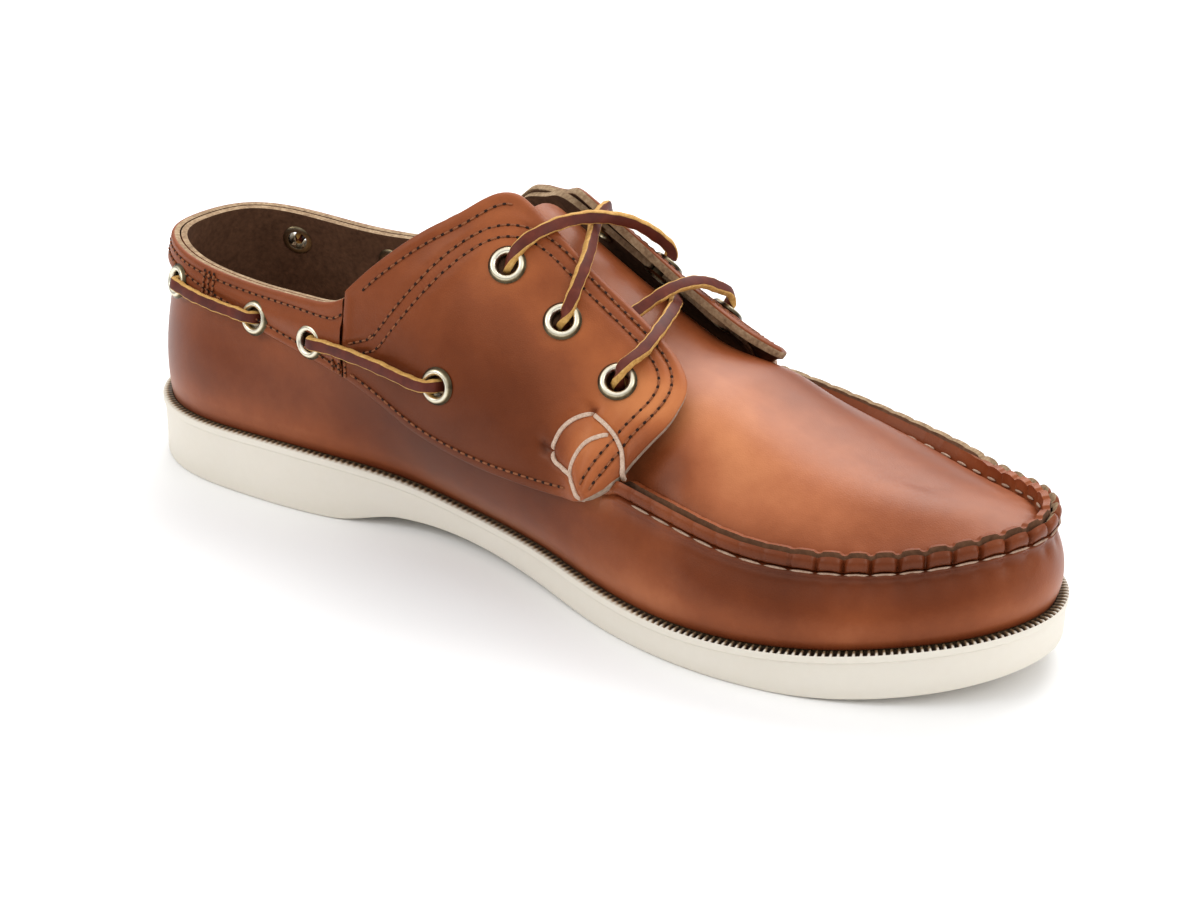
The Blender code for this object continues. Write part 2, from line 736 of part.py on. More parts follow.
# Heel patch
PATCH_HALF = 0.0125
heel_speed = np.linalg.norm(outline_at(T_END * 1e-3) - outline_at(-T_END * 1e-3)) / (T_END * 2e-3)
patch_reach = PATCH_HALF / heel_speed
PATCH_BORDER = [(-1.15, 0.02), (1.15, 0.02), (0.95, 0.16), (0.55, 0.36), (-0.55, 0.36), (-0.95, 0.16)]
patch_border = rounded(PATCH_BORDER, [0, 0, 0.3, 0.4, 0.4, 0.3], 3)
patch_border = divided(patch_border * (PATCH_HALF / LENGTH, 1), PATCH_HALF / 2) * (LENGTH / PATCH_HALF, 1)
patch("heel_patch", patch_border, (0.0, 0.17), lambda s: np.asarray(s) * patch_reach,
      OVERLAY_LOW, OVERLAY_LOW + PATCH, (1.0, 0.5), leather_patch)

# Eyelets: share of the length and height up the surface
FRONT_EYELETS = [(0.598, 1.428), (0.539, 1.511), (0.477, 1.545)]
SIDE_EYELETS = [(0.437, 1.025), (0.276, 0.781), (0.198, 0.790), (0.072, 0.800)]
EYELET_SIDES = 10


def eyelet_axis(side, share, v):
    """Middle of an eyelet on the overlay's outer face, and two directions square to its axis."""
    t = np.array(station(side, share))
    v = np.array(v)
    n = surface_normal(t, v)
    along = surface(t + 1e-3, v) - surface(t, v)
    along = along - n * np.dot(along, n)
    along = along / np.linalg.norm(along)
    return surface(t, v) + n * OVERLAY_HIGH, n, along, np.cross(n, along)


def turned(side, share, v, profile):
    """Points of a profile of radius and height turned round an eyelet's axis."""
    middle, n, a, b = eyelet_axis(side, share, v)
    loops = []
    for k in range(EYELET_SIDES):
        angle = 2 * pi * k / EYELET_SIDES
        ray = a * cos(angle) + b * sin(angle)
        loops.append([middle + ray * r + n * h for r, h in profile])
    return np.array(loops)


SHANK_DEPTH = OVERLAY + GAP + WALL
EYELET_PROFILE = [
    (EYELET_HOLE, -SHANK_DEPTH),
    (EYELET_HOLE, EYELET_FLANGE * 0.6 + GAP),
    ((EYELET_HOLE + EYELET_RADIUS) / 2, EYELET_FLANGE + GAP),
    (EYELET_RADIUS, GAP),
    (EYELET_SHANK, GAP),
    (EYELET_SHANK, -SHANK_DEPTH),
]
CUT_REACH = 0.004


def cutter_points(side, share, v):
    radius = EYELET_SHANK + GAP
    return turned(side, share, v, [(radius, CUT_REACH), (radius, -CUT_REACH - SHANK_DEPTH)])


def join_cutters(name, places):
    points = []
    faces = []
    for side, share, v in places:
        base = len(points)
        ring = cutter_points(side, share, v)
        points += [p for pair in ring for p in pair]
        for k in range(EYELET_SIDES):
            a = base + 2 * k
            b = base + 2 * ((k + 1) % EYELET_SIDES)
            faces.append((a, a + 1, b + 1, b))
        faces.append(tuple(base + 2 * k for k in range(EYELET_SIDES)))
        faces.append(tuple(base + 2 * k + 1 for k in reversed(range(EYELET_SIDES))))
    return add_object(name, points, faces, brass, cutter=True)


all_places = []
for side, word in ((MEDIAL, "medial"), (LATERAL, "lateral")):
    for number, (share, v) in enumerate(FRONT_EYELETS, 1):
        all_places.append(("front", number, side, word, share, v))
    for number, (share, v) in enumerate(SIDE_EYELETS, 1):
        all_places.append(("side", number, side, word, share, v))
for group, number, side, word, share, v in all_places:
    loops = turned(side, share, v, EYELET_PROFILE)
    add_object("eyelet_" + group + "_" + word + "_" + str(number), loops.reshape(-1, 3),
               loop_faces(loops.shape[0], loops.shape[1], True), brass)

cut(upper, join_cutters("cut_upper", [(p[2], p[4], p[5]) for p in all_places]))
for side in (MEDIAL, LATERAL):
    on_saddle = [(p[2], p[4], p[5]) for p in all_places if p[2] == side and p[4] > SEAT]
    cut(saddles[side], join_cutters("cut_saddle", on_saddle))
cut(band, join_cutters("cut_band", [(p[2], p[4], p[5]) for p in all_places if p[4] < SEAT]))

# Laces
LACE_SECTION = [(0.5, 0.0), (0.33, 0.5), (-0.33, 0.5), (-0.5, 0.0), (-0.33, -0.5), (0.33, -0.5)]


def on_shoe(side, share, v, height):
    """Point at a height over the upper's surface; at the spine the side makes no difference."""
    t = np.array(station(side, share))
    return offset_surface(t, np.array(float(v)), np.array(height))


def lace(name, stops, across, samples, material, cutter=False):
    """Flat lace along a smooth path, its width kept square to one plane."""
    stops = np.array(stops)
    d = np.concatenate([[0], np.cumsum(np.linalg.norm(np.diff(stops, axis=0), axis=1) ** 0.6)])
    path = natural_spline(d, stops)(np.linspace(0, d[-1], samples))
    tangent = np.gradient(path, axis=0)
    tangent /= np.linalg.norm(tangent, axis=1, keepdims=True)
    across = across / np.linalg.norm(across)
    wide = across - tangent * (tangent @ across)[:, None]
    wide /= np.linalg.norm(wide, axis=1, keepdims=True)
    thick = np.cross(tangent, wide)
    loops = np.array([[p + w * a * LACE_WIDTH + h * b * LACE_THICKNESS for a, b in LACE_SECTION]
                      for p, w, h in zip(path, wide, thick)])
    count = len(LACE_SECTION)
    faces = loop_faces(samples, count, False)
    faces.append(tuple(range(count)))
    faces.append(tuple((samples - 1) * count + k for k in reversed(range(count))))
    return add_object(name, loops.reshape(-1, 3), faces, material, cutter)


OVER = OVERLAY_HIGH + EYELET_FLANGE + GAP + LACE_CLEARANCE + LACE_THICKNESS / 2
ON_TONGUE = -TONGUE_SINK + LACE_CLEARANCE + LACE_THICKNESS / 2
IN_HOLE = OVERLAY_HIGH - SHANK_DEPTH / 2


def across_throat(stops, share):
    """Direction of the lace's width: along the slope of the instep."""
    up = surface_normal(np.array(station(MEDIAL, share)), np.array(2.0)) * np.array([1, 0, 1])
    return np.cross(up, stops[-1] - stops[0])


def front_strand(name, side, cutter):
    """From the front eyelet, over the throat's edge and the tongue, in under the other saddle."""
    share, v = FRONT_EYELETS[0]
    cross = 0.0012 if side == LATERAL else 0.0
    stops = [
        on_shoe(side, share, v, IN_HOLE),
        on_shoe(side, share - 0.003, v + 0.02, OVER + 0.0012),
        on_shoe(side, share - 0.008, 1.62, OVER + 0.0006),
        on_shoe(side, share - 0.014, 1.80, ON_TONGUE + 0.0045),
        on_shoe(side, share - 0.020, 2.00, ON_TONGUE + 0.0004 + cross),
        on_shoe(-side, share - 0.026, 1.80, ON_TONGUE + 0.0002),
        on_shoe(-side, share - 0.034, 1.60, ON_TONGUE),
    ]
    return lace(name, stops, across_throat(stops, share), 15, rawhide, cutter)


def top_strand(name, side, cutter):
    """From the second eyelet over the tongue to the top eyelet of the other saddle."""
    share, v = FRONT_EYELETS[1]
    end_share, end_v = FRONT_EYELETS[2]
    cross = 0.0014 if side == LATERAL else 0.0
    stops = [
        on_shoe(side, share, v, IN_HOLE),
        on_shoe(side, share - 0.002, v + 0.02, OVER + 0.0010),
        on_shoe(side, share - 0.012, 1.72, OVER + 0.0006),
        on_shoe(side, (share + end_share) / 2, 2.00, OVER - 0.0015 + cross),
        on_shoe(-side, end_share + 0.012, 1.74, OVER + 0.0006),
        on_shoe(-side, end_share + 0.002, end_v + 0.02, OVER + 0.0010),
        on_shoe(-side, end_share, end_v, IN_HOLE),
    ]
    return lace(name, stops, across_throat(stops, share), 17, rawhide, cutter)


cut(front_strand("lace_cross_front", MEDIAL, False), front_strand("join_front", LATERAL, True), "UNION")
cut(top_strand("lace_cross_top", MEDIAL, False), top_strand("join_top", LATERAL, True), "UNION")


def side_lace(name, side, first, second):
    """Straight length outside the collar between two side eyelets."""
    (s0, v0), (s1, v1) = first, second
    stops = [on_shoe(side, s0, v0, IN_HOLE)]
    for f in (0.03, 0.2, 0.4, 0.6, 0.8, 0.97):
        stops.append(on_shoe(side, s0 + (s1 - s0) * f, v0 + (v1 - v0) * f, OVER + 0.0005))
    stops.append(on_shoe(side, s1, v1, IN_HOLE))
    middle = surface_normal(np.array(station(side, (s0 + s1) / 2)), np.array((v0 + v1) / 2))
    return lace(name, stops, np.cross(stops[-1] - stops[0], middle), 12, rawhide)


for side, word in ((MEDIAL, "medial"), (LATERAL, "lateral")):
    side_lace("lace_side_" + word + "_front", side, SIDE_EYELETS[0], SIDE_EYELETS[1])
    side_lace("lace_side_" + word + "_back", side, SIDE_EYELETS[2], SIDE_EYELETS[3])
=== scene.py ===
"""Looks of a left boat shoe: oiled leather, hand-sewn seams, rawhide lacing and a pale rubber sole.

Metres. The toe points to +X, the lateral side is +Y, and the sole stands on Z = 0. The last's tables
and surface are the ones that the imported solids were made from, with finer steps.
"""

import bpy
import numpy as np
from math import pi, radians
from mathutils import Matrix, Vector


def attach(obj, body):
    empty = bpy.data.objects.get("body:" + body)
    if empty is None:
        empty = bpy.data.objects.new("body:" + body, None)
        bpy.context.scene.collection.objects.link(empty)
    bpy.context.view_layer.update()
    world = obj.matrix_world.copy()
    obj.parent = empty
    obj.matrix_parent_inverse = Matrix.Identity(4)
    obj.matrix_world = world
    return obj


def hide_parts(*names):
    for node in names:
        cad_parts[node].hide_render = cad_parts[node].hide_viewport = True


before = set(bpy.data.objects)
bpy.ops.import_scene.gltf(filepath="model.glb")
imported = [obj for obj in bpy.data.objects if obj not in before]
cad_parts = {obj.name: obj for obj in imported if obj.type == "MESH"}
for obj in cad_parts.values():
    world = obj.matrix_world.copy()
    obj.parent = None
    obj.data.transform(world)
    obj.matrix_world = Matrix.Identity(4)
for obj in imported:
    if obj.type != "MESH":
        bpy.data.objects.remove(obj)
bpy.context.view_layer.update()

# Sizes of the last and the sole
LENGTH = 0.298
BALL_WIDTH = 0.103
HEEL_THICKNESS = 0.0195
WAIST_THICKNESS = 0.0093
WAIST_LIFT = 0.0036
BALL_THICKNESS = 0.0100
TOE_THICKNESS = 0.0115
TOE_SPRING = 0.0085
LEDGE = 0.0030
EDGE_CHAMFER = 0.0008
GROOVE_INSET = 0.0085
GROOVE_WIDTH = 0.0018
GROOVE_DEPTH = 0.0012
RIB_HEIGHT = 0.0020
RIB_DEPTH = 0.0005

# Sizes of the upper
BACK_HEIGHT = 0.070
INSTEP_HEIGHT = 0.100
SEAM_HEIGHT = 0.040
WALL = 0.0018
PLUG_THICKNESS = 0.0018
OVERLAY = 0.0020
PATCH = 0.0012
RIDGE_HEIGHT = 0.0042
INSOLE_THICKNESS = 0.0030
GAP = 0.0003
FACET_ROOM = 0.0002

# Sizes of the lacing
EYELET_SHANK = 0.0032
LACE_WIDTH = 0.0036
LACE_THICKNESS = 0.0022
LACE_CLEARANCE = 0.0006

BALL_HALF = BALL_WIDTH / 2
TONGUE_SINK = WALL + LACE_THICKNESS + 2 * LACE_CLEARANCE
OVERLAY_LOW = GAP + FACET_ROOM
OVERLAY_HIGH = OVERLAY_LOW + OVERLAY
MM = 0.001

# Sole outline: distance from the heel as a share of LENGTH, then the medial and lateral half
# widths as shares of half the ball width
OUTLINE = [
    (0.000, 0.000, 0.000),
    (0.022, 0.400, 0.400),
    (0.085, 0.660, 0.660),
    (0.180, 0.725, 0.735),
    (0.285, 0.680, 0.730),
    (0.370, 0.560, 0.715),
    (0.450, 0.565, 0.745),
    (0.540, 0.700, 0.840),
    (0.620, 0.870, 0.935),
    (0.700, 0.975, 0.995),
    (0.770, 0.985, 0.995),
    (0.840, 0.910, 0.910),
    (0.905, 0.745, 0.725),
    (0.960, 0.510, 0.485),
    (0.990, 0.265, 0.235),
    (1.000, 0.030, -0.030),
]

# Break line of the upper, one row for each row of OUTLINE: how far inside the outline it stands on
# the medial and lateral sides (shares of half the ball width), its height (a share of BACK_HEIGHT,
# plus a share of SEAM_HEIGHT on each side), how far the wall swells out below it (medial and
# lateral, shares of half the ball width), and the steepness in degrees of wall and plug where they meet
BREAK = [
    (0.175, 0.175, 1.00, 0.000, 0.000, 0.045, 0.045, 78, 80),
    (0.175, 0.175, 1.00, 0.000, 0.000, 0.045, 0.045, 78, 80),
    (0.190, 0.190, 0.97, 0.000, 0.000, 0.045, 0.045, 78, 80),
    (0.180, 0.180, 0.94, 0.000, 0.000, 0.050, 0.050, 80, 80),
    (0.065, 0.100, 0.92, 0.000, 0.000, 0.080, 0.050, 82, 82),
    (-0.110, 0.025, 0.60, 0.400, 0.400, 0.190, 0.060, 82, 82),
    (-0.145, 0.030, 0.30, 0.725, 0.750, 0.220, 0.060, 80, 80),
    (-0.040, 0.085, 0.00, 1.090, 1.175, 0.160, 0.060, 75, 75),
    (0.100, 0.145, 0.00, 0.990, 1.100, 0.080, 0.055, 64, 60),
    (0.155, 0.165, 0.00, 0.900, 1.000, 0.055, 0.055, 56, 42),
    (0.160, 0.175, 0.00, 0.830, 0.925, 0.050, 0.050, 54, 34),
    (0.165, 0.185, 0.00, 0.825, 0.890, 0.050, 0.050, 54, 28),
    (0.170, 0.180, 0.00, 0.862, 0.900, 0.050, 0.050, 54, 22),
    (0.150, 0.160, 0.00, 0.950, 0.965, 0.050, 0.050, 55, 16),
    (0.130, 0.135, 0.00, 0.998, 1.002, 0.050, 0.050, 58, 12),
    (0.130, 0.130, 0.00, 1.005, 1.005, 0.050, 0.050, 58, 11),
]

# Spine of the instep, one row for each row of OUTLINE: distance from the heel (share of LENGTH),
# offset to the lateral side (share of half the ball width), height (share of INSTEP_HEIGHT)
SPINE = [
    (0.100, 0.000, 1.180),
    (0.110, 0.000, 1.180),
    (0.160, 0.000, 1.200),
    (0.250, 0.000, 1.220),
    (0.330, 0.000, 1.190),
    (0.385, 0.000, 1.130),
    (0.455, 0.000, 1.030),
    (0.540, 0.000, 0.848),
    (0.620, 0.000, 0.692),
    (0.695, -0.020, 0.577),
    (0.755, -0.040, 0.512),
    (0.805, -0.050, 0.473),
    (0.840, -0.050, 0.452),
    (0.860, -0.040, 0.442),
    (0.867, -0.035, 0.440),
    (0.868, -0.030, 0.440),
]

# Top edge of the upper: distance from the heel (share of LENGTH) and place up the surface, where
# 0 is the sole, 1 the break line and 2 the spine
TOPLINE = [
    (0.000, 1.00),
    (0.100, 1.00),
    (0.200, 1.00),
    (0.270, 1.02),
    (0.313, 1.08),
    (0.345, 1.22),
    (0.385, 1.44),
    (0.420, 1.63),
    (0.450, 1.73),
    (0.490, 1.72),
    (0.540, 1.67),
    (0.590, 1.64),
    (0.612, 1.60),
]


# The last's surface
def natural_spline(xs, ys):
    """Natural cubic through the points; ys may have several columns."""
    xs = np.asarray(xs, float)
    ys = np.asarray(ys, float)
    n = len(xs)
    h = np.diff(xs)
    a = np.zeros((n, n))
    b = np.zeros((n,) + ys.shape[1:])
    a[0, 0] = 1
    a[-1, -1] = 1
    for i in range(1, n - 1):
        a[i, i - 1:i + 2] = h[i - 1], 2 * (h[i - 1] + h[i]), h[i]
        b[i] = 6 * ((ys[i + 1] - ys[i]) / h[i] - (ys[i] - ys[i - 1]) / h[i - 1])
    m = np.linalg.solve(a, b)

    def curve(x):
        x = np.clip(np.asarray(x, float), xs[0], xs[-1])
        i = np.clip(np.searchsorted(xs, x, side="right") - 1, 0, n - 2)
        d = x - xs[i]
        w = h[i]
        if ys.ndim > 1:
            d = d[..., None]
            w = w[..., None]
        first = (ys[i + 1] - ys[i]) / w - w * (2 * m[i] + m[i + 1]) / 6
        return ys[i] + d * first + d ** 2 * m[i] / 2 + d ** 3 * (m[i + 1] - m[i]) / (6 * w)
    return curve


def run_along(points, power=1.0):
    """Distance along a line at each of its points; a power below 1 evens out its steps."""
    steps = np.linalg.norm(np.diff(points, axis=0), axis=1) ** power
    return np.concatenate([[0], np.cumsum(steps)])


def smoothstep(t):
    t = np.clip(t, 0, 1)
    return t * t * (3 - 2 * t)


ROWS = len(OUTLINE)
MEDIAL = -1
LATERAL = 1
SIDES = ((MEDIAL, "medial"), (LATERAL, "lateral"))


def loop_columns(medial, lateral):
    """Values of one table column round the loop: heel, medial side, toe, lateral side."""
    return np.concatenate([np.asarray(medial, float), np.asarray(lateral, float)[-2:0:-1]])


outline = np.array(OUTLINE)
knots_xy = np.stack([
    loop_columns(outline[:, 0], outline[:, 0]) * LENGTH,
    loop_columns(-outline[:, 1], outline[:, 2]) * BALL_HALF,
], axis=1)
WRAP = 4
wrapped_xy = np.vstack([knots_xy[-WRAP:], knots_xy, knots_xy[:WRAP + 1]])
knots_t = run_along(wrapped_xy / LENGTH, 0.7)
knots_t -= knots_t[WRAP]
T_TOE = knots_t[WRAP + ROWS - 1]
T_END = knots_t[WRAP + len(knots_xy)]


def loop_curve(values):
    """Periodic cubic through a column of values round the loop."""
    values = np.asarray(values, float)
    wrapped = np.concatenate([values[-WRAP:], values, values[:WRAP + 1]])
    curve = natural_spline(knots_t, wrapped)
    return lambda t: curve(np.mod(t, T_END))


outline_at = loop_curve(knots_xy)
breaks = np.array(BREAK, float)
break_at = loop_curve(np.stack([
    loop_columns(breaks[:, 0], breaks[:, 1]),
    loop_columns(breaks[:, 2], breaks[:, 2]),
    loop_columns(breaks[:, 3], breaks[:, 4]),
    loop_columns(breaks[:, 5], breaks[:, 6]),
    loop_columns(breaks[:, 7], breaks[:, 7]),
    loop_columns(breaks[:, 8], breaks[:, 8]),
], axis=1))
spine_at = natural_spline(outline[:, 0], np.array(SPINE))
topline = np.array(TOPLINE)
topline_at = natural_spline(topline[:, 0], topline[:, 1])

dense_medial = np.linspace(0, T_TOE, 900)
dense_lateral = np.linspace(T_END, T_TOE, 900)
reach_medial = np.maximum.accumulate(outline_at(dense_medial)[:, 0])
reach_lateral = np.maximum.accumulate(outline_at(dense_lateral)[:, 0])


def station(side, share):
    """Loop parameter of the outline point at a share of the length, on one side."""
    if side == MEDIAL:
        return np.interp(np.asarray(share) * LENGTH, reach_medial, dense_medial)
    return np.interp(np.asarray(share) * LENGTH, reach_lateral, dense_lateral)


def outward(t):
    """Horizontal direction that points out of the outline."""
    step = T_END * 1e-4
    d = outline_at(t + step) - outline_at(t - step)
    d = d / np.linalg.norm(d, axis=-1, keepdims=True)
    return np.stack([d[..., 1], -d[..., 0], np.zeros(d.shape[:-1])], axis=-1)


sole_top_at = natural_spline(
    [0.00, 0.15, 0.30, 0.42, 0.55, 0.68, 0.85, 1.00],
    [HEEL_THICKNESS, HEEL_THICKNESS, 0.95 * HEEL_THICKNESS, 0.9 * WAIST_LIFT + WAIST_THICKNESS,
     BALL_THICKNESS + 0.3 * WAIST_LIFT, BALL_THICKNESS, TOE_THICKNESS + 0.2 * TOE_SPRING,
     TOE_THICKNESS + TOE_SPRING])

HEEL_BREAST = 0.285
ARCH_START = 0.360
BALL_START = 0.660
BALL_END = 0.800


def sole_bottom(share):
    """Height of the sole's bottom: flat heel, ramp, arch, flat ball, toe spring."""
    share = np.asarray(share, float)
    ramp = smoothstep((share - HEEL_BREAST) / (ARCH_START - HEEL_BREAST))
    arch = 1 - smoothstep((share - ARCH_START) / (BALL_START - ARCH_START))
    toe = np.clip((share - BALL_END) / (1 - BALL_END), 0, 1) ** 2
    return WAIST_LIFT * ramp * arch + TOE_SPRING * toe


def sole_top(share):
    return sole_top_at(np.clip(share, 0, 1))


def bezier(p0, p1, p2, p3, t):
    t = np.asarray(t)[..., None]
    s = 1 - t
    return p0 * s ** 3 + 3 * p1 * s * s * t + 3 * p2 * s * t * t + p3 * t ** 3


UP = np.array([0.0, 0.0, 1.0])


def lift(xy, z):
    return np.concatenate([xy, np.asarray(z)[..., None]], axis=-1)


# How far the curves of wall and plug keep to their end directions, as shares of their reach, and
# how near the spine (2) the surface's direction is still taken
FOOT_PULL = 0.36
BREAK_PULL = 0.34
PLUG_PULL = 0.45
SPINE_PULL = 0.5
SPINE_NEAR = 1.96


def surface(t, v):
    """Outer face of the upper: v runs from the sole (0) over the break line (1) to the spine (2)."""
    t, v = np.broadcast_arrays(np.asarray(t, float), np.asarray(v, float))
    o = outline_at(t)
    n = outward(t)
    row = break_at(t)
    foot_xy = o - n[..., :2] * LEDGE
    foot = lift(foot_xy, sole_top(foot_xy[..., 0] / LENGTH) + GAP)
    brk = lift(o - n[..., :2] * row[..., :1] * BALL_HALF,
               row[..., 1] * BACK_HEIGHT + row[..., 2] * SEAM_HEIGHT)
    spine = spine_at(np.clip(o[..., 0] / LENGTH, 0, 1)) * np.array([LENGTH, BALL_HALF, INSTEP_HEIGHT])
    height = (brk - foot)[..., 2:]
    lean = np.radians(row[..., 4:5])
    into = -n * np.cos(lean) + UP * np.sin(lean)
    wall = bezier(foot, foot + n * row[..., 3:4] * BALL_HALF + UP * height * FOOT_PULL,
                  brk - into * height * BREAK_PULL, brk, np.clip(v, 0, 1))
    rise = np.radians(row[..., 5:6])
    across = spine - brk
    reach = np.linalg.norm(across, axis=-1, keepdims=True)
    flat = across * np.array([1.0, 1.0, 0.0])
    leave = -n * np.cos(rise) + UP * np.sin(rise)
    plug = bezier(brk, brk + leave * reach * PLUG_PULL, spine - flat * SPINE_PULL, spine,
                  np.clip(v - 1, 0, 1))
    return np.where((v <= 1)[..., None], wall, plug)


def surface_normal(t, v):
    """Direction square to the surface, taken a little inside its two edges."""
    t, v = np.broadcast_arrays(np.asarray(t, float), np.asarray(v, float))
    dt = T_END * 2e-4
    dv = 0.01
    v = np.clip(v, dv, SPINE_NEAR)
    along = surface(t + dt, v) - surface(t - dt, v)
    up = surface(t, v + dv) - surface(t, v - dv)
    n = np.cross(along, up)
    return n / np.linalg.norm(n, axis=-1, keepdims=True)


def offset_surface(t, v, distance):
    return surface(t, v) + surface_normal(t, v) * np.asarray(distance)[..., None]


dense_ring = outline_at(np.linspace(0, T_END, 2000))
SHIFT = np.array([LENGTH / 2, (dense_ring[:, 1].max() + dense_ring[:, 1].min()) / 2, 0.0])


def place(points):
    """Move design points so that the origin is below the middle of the shoe."""
    return np.asarray(points) - SHIFT


def share_of(t):
    return outline_at(t)[..., 0] / LENGTH


# Moccasin seam: where its lip starts along the shoe, its stitches, how far the lip leans and up to
# where, and how its leather is gathered
QUARTER_END = 0.612
LIP_START = 0.620
LIP_FULL = 0.640
STITCH_PITCH = 0.0066
LIP_LEAN = 0.0022
LEAN_END = 0.93
LEAN_RUN = 0.08
GATHER_LEAST = 0.16
GATHER_FROM_MEDIAL = 0.79
GATHER_FROM_LATERAL = 0.86
GATHER_RUN = 0.08
seam_t = np.linspace(station(MEDIAL, LIP_START), station(LATERAL, LIP_START), 3000)
seam_line = surface(seam_t, 1.0)
seam_s = run_along(seam_line)
SEAM_LENGTH = seam_s[-1]


def seam_arc(t):
    return np.interp(t, seam_t, seam_s)


def lip_lean(t):
    """The seam's lip stands upright on the medial side and leans outwards on the lateral one."""
    return LIP_LEAN * (np.asarray(t) > T_TOE) * smoothstep((LEAN_END - share_of(t)) / LEAN_RUN)


def slot_distance(t):
    """Distance along the seam from the nearest stitch hole."""
    return ((seam_arc(t) / STITCH_PITCH) % 1 - 0.5) * STITCH_PITCH


def gather(t):
    """How strongly the leather is gathered: weak along the sides, strong round the toe."""
    start = np.where(np.asarray(t) < T_TOE, GATHER_FROM_MEDIAL, GATHER_FROM_LATERAL)
    return GATHER_LEAST + (1 - GATHER_LEAST) * smoothstep((share_of(t) - start) / GATHER_RUN)


def seam_distance(points):
    """Distance of each point from the moccasin seam."""
    nearest = np.full(len(points), 1.0)
    for place_on_seam in seam_line[::6]:
        nearest = np.minimum(nearest, np.linalg.norm(points - place_on_seam, axis=1))
    return nearest


# Share of a crease's depth that is left at its two ends
FOLD_END = 0.35

# Creases: side, first end and last end as (share of the length, place up the
# surface), depth and half width in millimetres; a negative depth is a ridge
CREASES = [
    (MEDIAL, (0.700, 1.16), (0.775, 1.62), 0.35, 10.0),
    (LATERAL, (0.700, 1.20), (0.800, 1.55), 0.50, 9.0),
    (LATERAL, (0.800, 1.30), (0.860, 1.50), 0.30, 8.0),
    (MEDIAL, (0.660, 0.80), (0.720, 0.35), 0.45, 6.0),
    (MEDIAL, (0.700, 0.85), (0.740, 0.45), -0.30, 5.0),
    (LATERAL, (0.640, 0.80), (0.700, 0.30), 0.50, 6.0),
    (LATERAL, (0.690, 0.85), (0.745, 0.40), 0.35, 5.0),
    (MEDIAL, (0.420, 0.50), (0.540, 0.35), 0.40, 7.0),
    (LATERAL, (0.360, 0.52), (0.520, 0.38), 0.45, 7.0),
    (MEDIAL, (0.090, 0.62), (0.200, 0.45), 0.35, 6.0),
    (LATERAL, (0.080, 0.60), (0.210, 0.48), 0.40, 6.0),
    (MEDIAL, (0.455, 1.16), (0.535, 1.10), 0.55, 5.0),
    (MEDIAL, (0.470, 1.30), (0.520, 0.95), -0.35, 7.0),
    (LATERAL, (0.450, 1.20), (0.545, 1.12), 0.55, 5.0),
    (LATERAL, (0.385, 1.15), (0.460, 0.90), 0.40, 6.0),
    (MEDIAL, (0.360, 1.05), (0.420, 0.80), 0.35, 6.0),
]


def segment_distance(points, a, b):
    """Distance of each point from the line between a and b, and how far along it the foot lies."""
    d = b - a
    f = np.clip((points - a) @ d / (d @ d), 0, 1)
    return np.linalg.norm(points - a - f[:, None] * d, axis=1), f


def creased(points):
    """Height of the soft folds at each point, in metres."""
    height = np.zeros(len(points))
    for side, (s0, v0), (s1, v1), depth, width in CREASES:
        a = surface(np.array(station(side, s0)), np.array(v0))
        b = surface(np.array(station(side, s1)), np.array(v1))
        d, f = segment_distance(points, a, b)
        along = FOLD_END + (1 - FOLD_END) * np.sin(pi * f)
        height -= depth * MM * np.exp(-(d / (width * MM)) ** 2) * along
    return height
